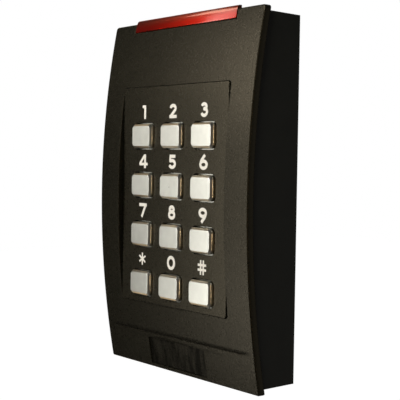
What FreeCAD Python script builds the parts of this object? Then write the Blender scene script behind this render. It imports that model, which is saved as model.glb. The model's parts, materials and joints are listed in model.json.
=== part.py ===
import FreeCAD, Part
import math
import os

V = FreeCAD.Vector

# Wall-mount card reader with a 12-key keypad. Millimetres. The origin is the
# centre of the wall plane: +X to the right seen from the front, +Y into the
# wall, +Z up, so the front of the reader is at negative Y.

# ---- driving dimensions: outside ----
WIDTH = 84.0
HEIGHT = 122.0
DEPTH = 24.0
BOW_SAG = 6.0                # how far the top and bottom edges fall behind the crest
BAND = 2.8                   # thickness of the bowed cover plate, measured along Y
COVER_TOP_R = 1.1            # upper corners seen from the front
COVER_BOTTOM_R = 0.6         # lower corners
COVER_FRONT_R = 0.35         # front edge, all round
COVER_REAR_R = 0.5           # back edge of the band, all round
PLATE_T = 2.0                # wall plate thickness

HALF_W = WIDTH / 2
HALF_H = HEIGHT / 2
CREST_Y = -DEPTH
BOW_R = (HALF_H ** 2 + BOW_SAG ** 2) / (2 * BOW_SAG)
REAR_Y = -PLATE_T            # back face of the housing

# ---- rear housing ----
SHELL_HW = 40.45             # half width at its back
SHELL_HH = 59.1              # half height at its back
SHELL_DRAFT = 0.37 / 15.0    # each side leans out this much per mm towards the front
SHELL_IN_HW = 38.6           # inside half width
SHELL_IN_HH = 57.0           # inside half height
FLOOR_T = 2.4
FLOOR_Y = REAR_Y - FLOOR_T
GASKET_T = 0.5               # gasket squeezed between housing rim and cover
LIP_GAP = 0.3                # cover lip inside the housing wall
LIP_T = 1.3
LIP_R = 1.0
LIP_BACK_Y = -13.0
SHELL_IN_R = 1.3
GASKET_HW = 40.1
GASKET_HH = 58.8
GASKET_IN_HW = 38.8
GASKET_IN_HH = 57.3
INTO_PLATE = 1.0             # ribs and bosses start this far inside the cover plate

# ---- keypad window and panel ----
WINDOW_HW = 30.5
WINDOW_HH = 37.85
WINDOW_R = 1.2
PANEL_HW = 29.95
PANEL_HH = 37.72
PANEL_Y = -22.15             # flat front of the panel
PANEL_T = 2.0
PANEL_R = 0.9
PANEL_EDGE_R = 0.25
PANEL_WALL = 1.2
PANEL_IN_R = 0.5
FRAME_HW = 34.5              # thick frame moulded round the window, behind the cover
FRAME_HH = 41.5
FRAME_R = 1.5
FRAME_Y = -18.4              # flat back of that frame
FLANGE_HW = 34.0
FLANGE_HH = 41.0
FLANGE_T = 1.5
FLANGE_R = 1.0
PANEL_BACK_Y = PANEL_Y + PANEL_T
BOARD_FRONT_Y = FRAME_Y + FLANGE_T

# ---- keys ----
KEY_PITCH_X = 17.3
KEY_PITCH_Z = 17.19
KEY_ROWS_Z = -5.18           # height of the middle of the key field
KEY_W = 11.9
KEY_H = 8.4
KEY_R = 1.7
KEY_CHAMFER = 0.72
KEY_FRONT_Y = -23.55
KEY_SIDE_GAP = 0.45
KEY_FLANGE_X = 1.1           # how far the retaining flange stands out at each side
KEY_FLANGE_Z = 0.7
KEY_FLANGE_T = 0.8
KEY_SLACK = 0.1              # flange to panel at rest
KEY_BACK_Y = PANEL_BACK_Y + KEY_SLACK + KEY_FLANGE_T
PIP_R = 0.5                  # locating pip on the 5 key
PIP_SUNK = 0.3
KEY_NAMES = (
    ("1", "2", "3"),
    ("4", "5", "6"),
    ("7", "8", "9"),
    ("star", "0", "hash"),
)

# ---- silicone mat under the keys ----
MAT_T = 1.0
MAT_HW = 28.2
MAT_HH = 35.7
MAT_R = 0.8
MAT_SHEET_Y = BOARD_FRONT_Y - MAT_T
DOME_BASE_R = 4.2
DOME_TOP_R = 2.7
DOME_TOP_Y = KEY_BACK_Y + 0.05
DOME_HOLLOW_R = 3.1
DOME_ROOF = 0.3
CONTACT_R = 2.4
CONTACT_T = 0.1

# ---- boards ----
BOARD_T = 1.6
KEYPAD_BOARD_HW = 34.0
KEYPAD_BOARD_HH = 41.0
MAIN_BOARD_HW = 37.5
MAIN_BOARD_HH = 56.0
MAIN_FRONT_Y = -9.6
MAIN_BACK_Y = MAIN_FRONT_Y + BOARD_T
KEYPAD_BOARD_BACK_Y = BOARD_FRONT_Y + BOARD_T
BOARD_POST_X = 29.0
BOARD_POST_Z = 38.0
BOARD_R = 1.0
BOARD_POST_R = 3.0
BOARD_HOLE_R = 1.2
BOARD_PILOT_R = 0.9
BOARD_PILOT_END_Y = -3.2
BOARD_SCREW = {"head_r": 2.0, "head_t": 1.4, "shank_r": 0.85, "tip_y": -3.6, "recess": 0.6,
               "recess_w": 2.6, "recess_h": 0.6}
MAIN_NOTCH_W = 9.0           # each corner of the main board is cut away round a boss
MAIN_NOTCH_H = 9.5
KEYPAD_SCREW_X = 32.2
KEYPAD_SCREW_ZS = (-30.0, 0.0, 30.0)
KEYPAD_SCREW_HOLE_R = 1.0
KEYPAD_PILOT_R = 0.85
KEYPAD_PILOT_END_Y = -20.8
KEYPAD_SCREW = {"head_r": 1.6, "head_t": 1.0, "shank_r": 0.75, "tip_y": -20.6}

# ---- light bar at the top ----
BAR_HW = 28.5
BAR_BOTTOM_Z = 57.9
BAR_TOP_Z = 62.2
BAR_PROUD = 0.1
BAR_CROWN_RISE = 1.9         # the upper front leans back along an arc
BAR_CROWN_RECESS = 0.45      # as far as this behind the bow at the very top
BAR_HEAD_T = 1.2             # thickness of the strip that stands above the cover
BAR_SHOULDER_Z = 60.8        # top of the thick part, level with the cover's edge
BAR_GAP = 0.1
BAR_LEG_BOTTOM_Z = 52.5
BAR_LEG_FRONT_Y = -15.6
BAR_LEG_T = 2.0
BAR_LEG_TOP_Z = 59.3
BAR_LEG_INSET = 0.4
BAR_BACK_GAP = 0.2
BAR_SLOT_LOW_Z = 40.0        # the slot that the bar needs through lip, gasket and housing
BAR_SLOT_HIGH_Z = 70.0
HOOD_HW = 27.0               # white hood between the lamps and the light bar
HOOD_LOW_Z = 50.6
HOOD_HIGH_Z = 55.8
HOOD_FRONT_Y = BAR_LEG_FRONT_Y + BAR_LEG_T
HOOD_SIDE_T = 1.5
HOOD_WALL_T = 1.0
HOOD_FACE_T = 1.8

# ---- nameplate and groove on the lower cover ----
BADGE_HW = 15.9
BADGE_TOP_Z = -50.4
BADGE_BOTTOM_Z = -59.6
BADGE_T = 0.47
BADGE_SUNK = 0.45
BADGE_GAP = 0.2
GROOVE_Z = -48.5
GROOVE_HW = 37.0
GROOVE_W = 0.32
GROOVE_DEPTH = 0.25

# ---- fastening of cover, reader and plate ----
CORNER_X = 33.5
CORNER_Z = 51.5
CORNER_MEET_Y = -9.0
COVER_BOSS_R = 3.2
COVER_PILOT_R = 1.25
COVER_PILOT_END_Y = -17.0
SHELL_BOSS_R = 4.0
COVER_SCREW_HOLE_R = 1.6
COVER_SCREW_SINK_R = 3.1
COVER_SCREW_SEAT_Y = REAR_Y - 2.3
COVER_SCREW = {"head_r": 2.8, "head_t": 1.9, "shank_r": 1.2, "tip_y": -16.5}
PLATE_HW = 37.5
PLATE_HH = 56.8
PLATE_R = 3.0
GANG_SPACING_Z = 83.3        # single-gang electrical box
BOX_SPACING_X = 60.3         # round wall box
SLOT_HALF_W = 2.1
SLOT_LENGTH = 7.0
MOUNT_HEAD_R = 5.6           # room in the housing's back for the heads of the wall screws
MOUNT_HEAD_DEPTH = 1.6
HOOK_XS = (-19.5, 19.5)
HOOK_W = 7.0
HOOK_FRONT_Y = -6.0
HOOK_LOW_Z = 48.6
HOOK_HIGH_Z = 50.7
HOOK_TIP_Z = 54.6
HOOK_CLEAR = 0.2             # hook tip to housing floor
HOOK_SLOT_SIDE = 0.5
HOOK_SLOT_LOW_Z = 44.4
HOOK_SLOT_HIGH_Z = 51.0
CABLE_HW = 21.0              # cable opening in the housing floor
CABLE_TOP_Z = -7.5
CABLE_BOTTOM_Z = -31.0
CABLE_PLATE_MARGIN = 1.5     # the plate's opening is larger by this all round
CABLE_PLATE_R = 2.0
TAB_HW = 6.0
TAB_TOP_Z = -54.8
TAB_BOTTOM_Z = -56.8
TAB_GAP = 0.3                # tab to main board, and to the housing above it
TAB_SIDE_GAP = 0.5
LOCK_Y = -5.4                # axis of the security screw
LOCK_START_Z = -SHELL_HH - 3.0
LOCK_HOLE_R = 1.9
LOCK_HOLE_LENGTH = 8.0
LOCK_SINK_R = 3.1
LOCK_SINK_LENGTH = 4.4
LOCK_HEAD_R = 2.8
LOCK_HEAD_Z = -SHELL_HH + 0.2
LOCK_SEAT_Z = -SHELL_HH + 1.4
LOCK_SHANK_R = 1.45
LOCK_SHANK_LENGTH = 3.1
LOCK_THREAD_R = 1.5
LOCK_SOCKET_R = 1.3
LOCK_SOCKET_DEPTH = 0.8
LOCK_PIN_R = 0.4
LOCK_PIN_LENGTH = 0.9

# ---- parts on the main board ----
COIL_W = 69.0
COIL_H = 89.0
COIL_T = 2.2
COIL_BAND = 2.6              # width of the bundle of turns
COIL_R = 7.0
COIL_IN_R = 4.4
LED_W = 3.5
LED_H = 2.8
LED_T = 1.9
LED_XS = (-18.0, -6.0, 6.0, 18.0)
LED_Z = 53.2
BUZZER_X = 18.0
BUZZER_Z = -20.0
BUZZER_R = 6.0
BUZZER_T = 4.8
BUZZER_HOLE_R = 1.2
BUZZER_HOLE_DEPTH = 1.2
CHIP_R = 0.3
LEG_PITCH = 0.8
LEG_REACH = 1.0
LEG_T = 0.5
CONTROLLER = {"side": 10.0, "thick": 1.4, "x": -8.0, "z": 6.0, "per_side": 11}
RADIO = {"side": 7.0, "thick": 1.0, "x": 14.0, "z": 16.0, "per_side": 8}
REGULATOR_X = -20.0
REGULATOR_Z = -24.0
REGULATOR_SIZE = (6.5, 3.5, 1.6)
REGULATOR_LEGS = (3.0, 7.0, 0.6)
PIN_MARK_R = 0.3
PIN_MARK_DEPTH = 0.2
CAPACITOR_PLACES = ((-24.0, -14.0), (-17.5, -14.0), (-24.0, -7.5))
CAPACITOR_BASE = 5.4
CAPACITOR_BASE_T = 0.8
CAPACITOR_R = 2.5
CAPACITOR_T = 5.2
CRYSTAL_X = -8.0
CRYSTAL_Z = -8.0
CRYSTAL_SIZE = (10.5, 4.2, 3.4)
CRYSTAL_R = 2.0
CONNECTOR_W = 20.5
CONNECTOR_H = 2.6
CONNECTOR_R = 0.3
CONNECTOR_Z = -37.5
TERMINAL_COUNT = 10
TERMINAL_PITCH = 3.81
TERMINAL_TOP_Z = -8.0
TERMINAL_BOTTOM_Z = -16.5
TERMINAL_BACK_Y = -0.8
TERMINAL_SCREW_Z = -11.0
TERMINAL_END = 0.5           # plain end of the block beyond the last pole
TERMINAL_WELL_R = 1.5
TERMINAL_WELL = 2.5
TERMINAL_HEAD_R = 1.35
TERMINAL_HEAD_SUNK = 0.7
TERMINAL_SLOT_W = 0.45
TERMINAL_SLOT = 0.7
WIRE_HW = 1.2                # wire entries along the block's lower face
WIRE_FRONT_Y = -6.4
WIRE_BACK_Y = -4.0
WIRE_TOP_Z = -12.0
TAMPER_Z = 22.0
TAMPER_W = 6.0
TAMPER_H = 5.0
TAMPER_T = 2.6
TAMPER_R = 0.4
TAMPER_HOLE_R = 2.6
TAMPER_EYE_W = 3.6
TAMPER_EYE_H = 1.6
TAMPER_EYE_R = 0.3
TAMPER_EYE_DEPTH = 0.6

# ---- cross recess of a screw, as shares of its head ----
RECESS_WIDTH = 1.3
RECESS_SLOT = 0.3
RECESS_START = 0.45

EPS = 0.01
BIG = 200.0


# ---- helpers ----

def box(x0, x1, y0, y1, z0, z1):
    return Part.makeBox(x1 - x0, y1 - y0, z1 - z0, V(x0, y0, z0))


def wide_box(half_width, y0, y1, z0, z1):
    return box(-half_width, half_width, y0, y1, z0, z1)


def rod_y(x, z, radius, y0, y1):
    return Part.makeCylinder(radius, y1 - y0, V(x, y0, z), V(0, 1, 0))


def cone_y(x, z, r0, r1, y0, y1):
    return Part.makeCone(r0, r1, y1 - y0, V(x, y0, z), V(0, 1, 0))


def slab(width, height, radius, y0, y1, x=0.0, z=0.0):
    """A rounded rectangle in the XZ plane, from y0 back to y1."""
    body = box(x - width / 2, x + width / 2, y0, y1, z - height / 2, z + height / 2)
    if radius <= 0:
        return body
    corners = [e for e in body.Edges if along_y(e)]
    return body.makeFillet(radius, corners)


def along_y(edge):
    a = edge.Vertexes[0].Point
    b = edge.Vertexes[-1].Point
    return abs(a.x - b.x) < EPS and abs(a.z - b.z) < EPS and abs(a.y - b.y) > EPS


def bow_y(z):
    """Y of the cover's front surface at height z."""
    return CREST_Y + BOW_R - math.sqrt(BOW_R ** 2 - z ** 2)


def bow_edge(z0, z1, offset):
    middle = (z0 + z1) / 2
    ends = V(0, bow_y(z0) + offset, z0), V(0, bow_y(z1) + offset, z1)
    return Part.Arc(ends[0], V(0, bow_y(middle) + offset, middle), ends[1]).toShape()


def bow_slab(half_width, z0, z1, front, back):
    """A plate that follows the bow, between two offsets from it along Y."""
    fore = bow_edge(z0, z1, front)
    aft = bow_edge(z0, z1, back)
    top = Part.makeLine(V(0, bow_y(z1) + front, z1), V(0, bow_y(z1) + back, z1))
    bottom = Part.makeLine(V(0, bow_y(z0) + front, z0), V(0, bow_y(z0) + back, z0))
    face = Part.Face(Part.Wire(Part.__sortEdges__([fore, top, aft, bottom])))
    face.translate(V(-half_width, 0, 0))
    return face.extrude(V(2 * half_width, 0, 0))


def behind_bow(half_width, z0, z1, offset, back_y):
    """Everything from the offset bow back to a flat plane."""
    fore = bow_edge(z0, z1, offset)
    top = Part.makeLine(V(0, bow_y(z1) + offset, z1), V(0, back_y, z1))
    aft = Part.makeLine(V(0, back_y, z1), V(0, back_y, z0))
    bottom = Part.makeLine(V(0, back_y, z0), V(0, bow_y(z0) + offset, z0))
    face = Part.Face(Part.Wire(Part.__sortEdges__([fore, top, aft, bottom])))
    face.translate(V(-half_width, 0, 0))
    return face.extrude(V(2 * half_width, 0, 0))


def edges_at(shape, test):
    return [e for e in shape.Edges if all(test(v.Point) for v in e.Vertexes)]


def key_places():
    for row, names in enumerate(KEY_NAMES):
        for column, name in enumerate(names):
            x = (column - 1) * KEY_PITCH_X
            z = KEY_ROWS_Z + (1.5 - row) * KEY_PITCH_Z
            yield name, x, z


def corners(x, z):
    return [(sx * x, sz * z) for sx in (-1, 1) for sz in (-1, 1)]


def screw(x, z, head_y, head_r, head_t, shank_r, tip_y):
    """A screw driven along -Y: its head is behind head_y, its tip at tip_y."""
    body = rod_y(x, z, head_r, head_y, head_y + head_t)
    body = body.fuse(rod_y(x, z, shank_r, tip_y, head_y))
    recess_y = head_y + head_t * RECESS_START
    for cut in cross_recess(x, z, head_r * RECESS_WIDTH, head_r * RECESS_SLOT, recess_y, BIG):
        body = body.cut(cut)
    return body


def bar_slot(back_y):
    return wide_box(BAR_HW + BAR_GAP, -BIG, back_y, BAR_SLOT_LOW_Z, BAR_SLOT_HIGH_Z)


def cross_recess(x, z, width, slot_w, y0, y1):
    return [slab(w, h, 0, y0, y1, x, z) for w, h in ((width, slot_w), (slot_w, width))]


def group(shapes):
    return Part.makeCompound(shapes)


# ---- cover assembly ----

def rim_edges(shape, offset):
    """Edges whose ends both lie on the bow moved back by offset."""
    return [e for e in shape.Edges
            if all(abs(v.Point.y - bow_y(v.Point.z) - offset) < 0.05 for v in e.Vertexes)]


def cover_plate():
    plate = bow_slab(HALF_W, -HALF_H, HALF_H, 0, BAND)
    for radius, side in ((COVER_TOP_R, 1), (COVER_BOTTOM_R, -1)):
        ends = [e for e in plate.Edges if along_y(e) and e.Vertexes[0].Point.z * side > 0]
        plate = plate.makeFillet(radius, ends)
    plate = plate.makeFillet(COVER_FRONT_R, rim_edges(plate, 0))
    return plate.makeFillet(COVER_REAR_R, rim_edges(plate, BAND))


def make_front_cover():
    cover = cover_plate()
    frame = slab(2 * FRAME_HW, 2 * FRAME_HH, FRAME_R, -BIG, FRAME_Y)
    frame = frame.common(behind_bow(HALF_W, -HALF_H, HALF_H, INTO_PLATE, FRAME_Y))
    cover = cover.fuse(frame)
    lip_hw = SHELL_IN_HW - LIP_GAP
    lip_hh = SHELL_IN_HH - LIP_GAP
    lip = slab(2 * lip_hw, 2 * lip_hh, LIP_R, CREST_Y, LIP_BACK_Y)
    lip = lip.cut(slab(2 * (lip_hw - LIP_T), 2 * (lip_hh - LIP_T), 0, -BIG, 0))
    lip = lip.common(behind_bow(HALF_W, -HALF_H, HALF_H, INTO_PLATE, LIP_BACK_Y))
    cover = cover.fuse(lip.cut(bar_slot(0)))
    for x, z in corners(CORNER_X, CORNER_Z):
        boss = rod_y(x, z, COVER_BOSS_R, CREST_Y, CORNER_MEET_Y)
        behind = behind_bow(HALF_W, -HALF_H, HALF_H, INTO_PLATE, CORNER_MEET_Y)
        cover = cover.fuse(boss.common(behind))
    cover = cover.removeSplitter()
    cover = cover.cut(slab(2 * WINDOW_HW, 2 * WINDOW_HH, WINDOW_R, -BIG, 0))
    notch_bottom = BAR_BOTTOM_Z - BAR_GAP
    cover = cover.cut(wide_box(BAR_HW + BAR_GAP, -BIG, 0, notch_bottom, BIG))
    cover = cover.cut(bow_slab(GROOVE_HW, GROOVE_Z - GROOVE_W / 2, GROOVE_Z + GROOVE_W / 2,
                               -1, GROOVE_DEPTH))
    cover = cover.cut(bow_slab(BADGE_HW + BADGE_GAP, BADGE_BOTTOM_Z - BADGE_GAP,
                               BADGE_TOP_Z + BADGE_GAP, -1, BADGE_SUNK + BADGE_T))
    for x, z in corners(CORNER_X, CORNER_Z):
        cover = cover.cut(rod_y(x, z, COVER_PILOT_R, COVER_PILOT_END_Y, 0))
    for x, z in keypad_screw_places():
        cover = cover.cut(rod_y(x, z, KEYPAD_PILOT_R, KEYPAD_PILOT_END_Y, 0))
    return cover


def make_keypad_panel():
    panel = slab(2 * PANEL_HW, 2 * PANEL_HH, PANEL_R, PANEL_Y, BOARD_FRONT_Y)
    front = edges_at(panel, lambda p: abs(p.y - PANEL_Y) < EPS)
    panel = panel.makeFillet(PANEL_EDGE_R, front)
    panel = panel.fuse(slab(2 * FLANGE_HW, 2 * FLANGE_HH, FLANGE_R, FRAME_Y, BOARD_FRONT_Y))
    inner = slab(2 * (PANEL_HW - PANEL_WALL), 2 * (PANEL_HH - PANEL_WALL), PANEL_IN_R,
                 PANEL_BACK_Y, 0)
    panel = panel.cut(inner)
    for _, x, z in key_places():
        panel = panel.cut(slab(KEY_W + 2 * KEY_SIDE_GAP, KEY_H + 2 * KEY_SIDE_GAP,
                               KEY_R + KEY_SIDE_GAP, -BIG, 0, x, z))
    for x, z in keypad_screw_places():
        panel = panel.cut(rod_y(x, z, KEYPAD_SCREW_HOLE_R, -BIG, 0))
    return panel.removeSplitter()


def bar_front(z):
    return bow_y(z) - BAR_PROUD


def bar_crown(tip_y):
    """The arc up the front of the bar, tangent to its lower front and leaning back to the tip."""
    start_z = BAR_TOP_Z - BAR_CROWN_RISE
    lean = math.asin(start_z / BOW_R)
    middle_z = (start_z + BAR_TOP_Z) / 2
    sag = (BAR_CROWN_RECESS + bar_front(BAR_TOP_Z) - bar_front(start_z)
           - BAR_CROWN_RISE * math.tan(lean)) / 4
    middle_y = bar_front(start_z) + math.tan(lean) * BAR_CROWN_RISE / 2 + sag
    return Part.Arc(V(0, bar_front(start_z), start_z), V(0, middle_y, middle_z),
                    V(0, tip_y, BAR_TOP_Z)).toShape()


def make_light_bar():
    start_z = BAR_TOP_Z - BAR_CROWN_RISE
    tip_y = bar_front(BAR_TOP_Z) + BAR_CROWN_RECESS
    back_y = bow_y(HALF_H) + BAND
    leg_back_y = BAR_LEG_FRONT_Y + BAR_LEG_T
    corner_points = [V(0, tip_y, BAR_TOP_Z), V(0, tip_y + BAR_HEAD_T, BAR_TOP_Z),
                     V(0, tip_y + BAR_HEAD_T, BAR_SHOULDER_Z), V(0, back_y, BAR_SHOULDER_Z),
                     V(0, back_y, BAR_BOTTOM_Z), V(0, bar_front(BAR_BOTTOM_Z), BAR_BOTTOM_Z)]
    edges = [bow_edge(BAR_BOTTOM_Z, start_z, -BAR_PROUD), bar_crown(tip_y)]
    edges += [Part.makeLine(a, b) for a, b in zip(corner_points, corner_points[1:])]
    face = Part.Face(Part.Wire(Part.__sortEdges__(edges)))
    face.translate(V(-BAR_HW, 0, 0))
    head = face.extrude(V(2 * BAR_HW, 0, 0))
    leg = wide_box(BAR_HW - BAR_LEG_INSET, BAR_LEG_FRONT_Y, leg_back_y,
                   BAR_LEG_BOTTOM_Z, BAR_LEG_TOP_Z)
    return head.fuse(leg).removeSplitter()


def make_light_diffuser():
    hood = wide_box(HOOD_HW, HOOD_FRONT_Y, MAIN_FRONT_Y, HOOD_LOW_Z, HOOD_HIGH_Z)
    return hood.cut(wide_box(HOOD_HW - HOOD_SIDE_T, HOOD_FRONT_Y + HOOD_FACE_T, MAIN_FRONT_Y,
                             HOOD_LOW_Z + HOOD_WALL_T, HOOD_HIGH_Z - HOOD_WALL_T))


def make_nameplate():
    return bow_slab(BADGE_HW, BADGE_BOTTOM_Z, BADGE_TOP_Z, BADGE_SUNK, BADGE_SUNK + BADGE_T)


def make_cover_gasket():
    ring = bow_slab(GASKET_HW, -GASKET_HH, GASKET_HH, BAND, BAND + GASKET_T)
    ring = ring.cut(wide_box(GASKET_IN_HW, -BIG, 0, -GASKET_IN_HH, GASKET_IN_HH))
    return ring.cut(bar_slot(0))


def make_cover_screws():
    return group([screw(x, z, COVER_SCREW_SEAT_Y, **COVER_SCREW)
                  for x, z in corners(CORNER_X, CORNER_Z)])


# ---- rear housing and wall plate ----

def shell_outline(y):
    grow = (REAR_Y - y) * SHELL_DRAFT
    hw = SHELL_HW + grow
    hh = SHELL_HH + grow
    points = [V(-hw, y, -hh), V(hw, y, -hh), V(hw, y, hh), V(-hw, y, hh), V(-hw, y, -hh)]
    return Part.makePolygon(points)


def mount_slots():
    """Centres of the slots for the wall screws: two on the Z axis, two on the X axis."""
    return [(0, GANG_SPACING_Z / 2), (0, -GANG_SPACING_Z / 2),
            (BOX_SPACING_X / 2, 0), (-BOX_SPACING_X / 2, 0)]


def housing_bosses():
    """Corner bosses for the cover screws and posts for the main board."""
    bosses = [rod_y(x, z, SHELL_BOSS_R, CORNER_MEET_Y, FLOOR_Y)
              for x, z in corners(CORNER_X, CORNER_Z)]
    return bosses + [rod_y(x, z, BOARD_POST_R, MAIN_BACK_Y, FLOOR_Y)
                     for x, z in corners(BOARD_POST_X, BOARD_POST_Z)]


def housing_screw_holes():
    holes = []
    for x, z in corners(CORNER_X, CORNER_Z):
        holes.append(rod_y(x, z, COVER_SCREW_HOLE_R, -BIG, 0))
        holes.append(rod_y(x, z, COVER_SCREW_SINK_R, COVER_SCREW_SEAT_Y, 0))
    for x, z in corners(BOARD_POST_X, BOARD_POST_Z):
        holes.append(rod_y(x, z, BOARD_PILOT_R, -BIG, BOARD_PILOT_END_Y))
    return holes


def housing_floor_openings():
    """Openings in the floor for cables, hooks, wall screws, sensor, tab and lock."""
    cuts = [wide_box(CABLE_HW, FLOOR_Y - 1, 0, CABLE_BOTTOM_Z, CABLE_TOP_Z),
            rod_y(0, TAMPER_Z, TAMPER_HOLE_R, FLOOR_Y - 1, 0),
            wide_box(TAB_HW + TAB_SIDE_GAP, FLOOR_Y - 0.1, 0,
                     TAB_BOTTOM_Z - 0.1, TAB_TOP_Z + TAB_GAP)]
    for x in HOOK_XS:
        half = HOOK_W / 2 + HOOK_SLOT_SIDE
        cuts.append(box(x - half, x + half, FLOOR_Y - 1, 0, HOOK_SLOT_LOW_Z, HOOK_SLOT_HIGH_Z))
    for x, z in mount_slots():
        cuts.append(rod_y(x, z, MOUNT_HEAD_R, REAR_Y - MOUNT_HEAD_DEPTH, 0))
    return cuts


def rod_z(radius, length, z):
    """A rod along the security screw's axis, from z upwards."""
    return Part.makeCylinder(radius, length, V(0, LOCK_Y, z), V(0, 0, 1))


def make_rear_housing():
    outside = Part.makeLoft([shell_outline(REAR_Y), shell_outline(CREST_Y)], True, True)
    outside = outside.common(behind_bow(HALF_W, -HALF_H, HALF_H, BAND + GASKET_T, REAR_Y))
    housing = outside.cut(slab(2 * SHELL_IN_HW, 2 * SHELL_IN_HH, SHELL_IN_R, -BIG, FLOOR_Y))
    for boss in housing_bosses():
        housing = housing.fuse(boss)
    for cut in housing_screw_holes() + housing_floor_openings():
        housing = housing.cut(cut)
    housing = housing.cut(bar_slot(BAR_LEG_FRONT_Y + BAR_LEG_T + BAR_BACK_GAP))
    housing = housing.cut(rod_z(LOCK_HOLE_R, LOCK_HOLE_LENGTH, LOCK_START_Z))
    return housing.cut(rod_z(LOCK_SINK_R, LOCK_SINK_LENGTH, LOCK_START_Z)).removeSplitter()


def make_mounting_plate():
    plate = slab(2 * PLATE_HW, 2 * PLATE_HH, PLATE_R, REAR_Y, 0)
    window_w = 2 * (CABLE_HW + CABLE_PLATE_MARGIN)
    window_h = CABLE_TOP_Z - CABLE_BOTTOM_Z + 2 * CABLE_PLATE_MARGIN
    window_z = (CABLE_TOP_Z + CABLE_BOTTOM_Z) / 2
    plate = plate.cut(slab(window_w, window_h, CABLE_PLATE_R, -BIG, BIG, 0, window_z))
    for x, z in mount_slots():
        width, height = (2 * SLOT_HALF_W, SLOT_LENGTH) if x == 0 else (SLOT_LENGTH, 2 * SLOT_HALF_W)
        plate = plate.cut(slab(width, height, SLOT_HALF_W - EPS, -BIG, BIG, x, z))
    for x in HOOK_XS:
        x0 = x - HOOK_W / 2
        x1 = x + HOOK_W / 2
        plate = plate.fuse(box(x0, x1, HOOK_FRONT_Y, REAR_Y, HOOK_LOW_Z, HOOK_HIGH_Z))
        plate = plate.fuse(box(x0, x1, HOOK_FRONT_Y, FLOOR_Y - HOOK_CLEAR,
                               HOOK_LOW_Z, HOOK_TIP_Z))
    plate = plate.fuse(wide_box(TAB_HW, MAIN_BACK_Y + TAB_GAP, REAR_Y, TAB_BOTTOM_Z, TAB_TOP_Z))
    return plate.cut(rod_z(LOCK_THREAD_R, LOCK_HOLE_LENGTH, TAB_BOTTOM_Z - 2)).removeSplitter()


def make_security_screw():
    shank = rod_z(LOCK_SHANK_R, LOCK_SHANK_LENGTH, LOCK_SEAT_Z)
    head = rod_z(LOCK_HEAD_R, LOCK_SEAT_Z - LOCK_HEAD_Z, LOCK_HEAD_Z)
    socket = rod_z(LOCK_SOCKET_R, LOCK_SOCKET_DEPTH, LOCK_HEAD_Z)
    return head.fuse(shank).cut(socket).fuse(rod_z(LOCK_PIN_R, LOCK_PIN_LENGTH, LOCK_HEAD_Z))


# ---- keypad ----

def make_key(name, x, z):
    cap = slab(KEY_W, KEY_H, KEY_R, KEY_FRONT_Y, KEY_BACK_Y, x, z)
    cap = cap.makeChamfer(KEY_CHAMFER, edges_at(cap, lambda p: p.y < KEY_FRONT_Y + EPS))
    flange_w = KEY_W + 2 * KEY_FLANGE_X
    flange_h = KEY_H + 2 * KEY_FLANGE_Z
    cap = cap.fuse(slab(flange_w, flange_h, KEY_R, KEY_BACK_Y - KEY_FLANGE_T, KEY_BACK_Y, x, z))
    if name == "5":
        cap = cap.fuse(Part.makeSphere(PIP_R, V(x, KEY_FRONT_Y + PIP_SUNK, z)))
    return cap.removeSplitter()


def make_keypad_mat():
    mat = slab(2 * MAT_HW, 2 * MAT_HH, MAT_R, MAT_SHEET_Y, BOARD_FRONT_Y)
    for _, x, z in key_places():
        mat = mat.fuse(cone_y(x, z, DOME_TOP_R, DOME_BASE_R, DOME_TOP_Y, MAT_SHEET_Y))
    for _, x, z in key_places():
        mat = mat.cut(rod_y(x, z, DOME_HOLLOW_R, MAT_SHEET_Y - DOME_ROOF, 0))
    return mat


def make_key_contacts():
    return group([rod_y(x, z, CONTACT_R, BOARD_FRONT_Y - CONTACT_T, BOARD_FRONT_Y)
                  for _, x, z in key_places()])


def keypad_screw_places():
    return [(x, z) for z in KEYPAD_SCREW_ZS for x in (-KEYPAD_SCREW_X, KEYPAD_SCREW_X)]


def make_keypad_board():
    board = slab(2 * KEYPAD_BOARD_HW, 2 * KEYPAD_BOARD_HH, BOARD_R,
                 BOARD_FRONT_Y, KEYPAD_BOARD_BACK_Y)
    for x, z in keypad_screw_places():
        board = board.cut(rod_y(x, z, KEYPAD_SCREW_HOLE_R, -BIG, 0))
    return board


def make_keypad_screws():
    return group([screw(x, z, KEYPAD_BOARD_BACK_Y, **KEYPAD_SCREW)
                  for x, z in keypad_screw_places()])


# ---- main board and what is on it ----

def on_main(width, height, thick, x, z, radius=0.0):
    """A part that stands on the front of the main board."""
    return slab(width, height, radius, MAIN_FRONT_Y - thick, MAIN_FRONT_Y, x, z)


def make_main_board():
    board = wide_box(MAIN_BOARD_HW, MAIN_FRONT_Y, MAIN_BACK_Y, -MAIN_BOARD_HH, MAIN_BOARD_HH)
    for x, z in corners(MAIN_BOARD_HW, MAIN_BOARD_HH):
        board = board.cut(slab(2 * MAIN_NOTCH_W, 2 * MAIN_NOTCH_H, BOARD_R, -BIG, 0, x, z))
    for x, z in corners(BOARD_POST_X, BOARD_POST_Z):
        board = board.cut(rod_y(x, z, BOARD_HOLE_R, -BIG, 0))
    return board


def board_screw(x, z, head_r, head_t, shank_r, tip_y, recess, recess_w, recess_h):
    """A pan-head screw with its head on the board's front, tip towards the wall."""
    head_y = MAIN_FRONT_Y - head_t
    body = rod_y(x, z, head_r, head_y, MAIN_FRONT_Y)
    body = body.fuse(rod_y(x, z, shank_r, MAIN_FRONT_Y, tip_y))
    for cut in cross_recess(x, z, recess_w, recess_h, head_y - 1, head_y + recess):
        body = body.cut(cut)
    return body


def make_main_board_screws():
    return group([board_screw(x, z, **BOARD_SCREW)
                  for x, z in corners(BOARD_POST_X, BOARD_POST_Z)])


def make_antenna_coil():
    inside = on_main(COIL_W - 2 * COIL_BAND, COIL_H - 2 * COIL_BAND, BIG, 0, 0, COIL_IN_R)
    return on_main(COIL_W, COIL_H, COIL_T, 0, 0, COIL_R).cut(inside)


def make_status_leds():
    return group([on_main(LED_W, LED_H, LED_T, x, LED_Z) for x in LED_XS])


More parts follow.
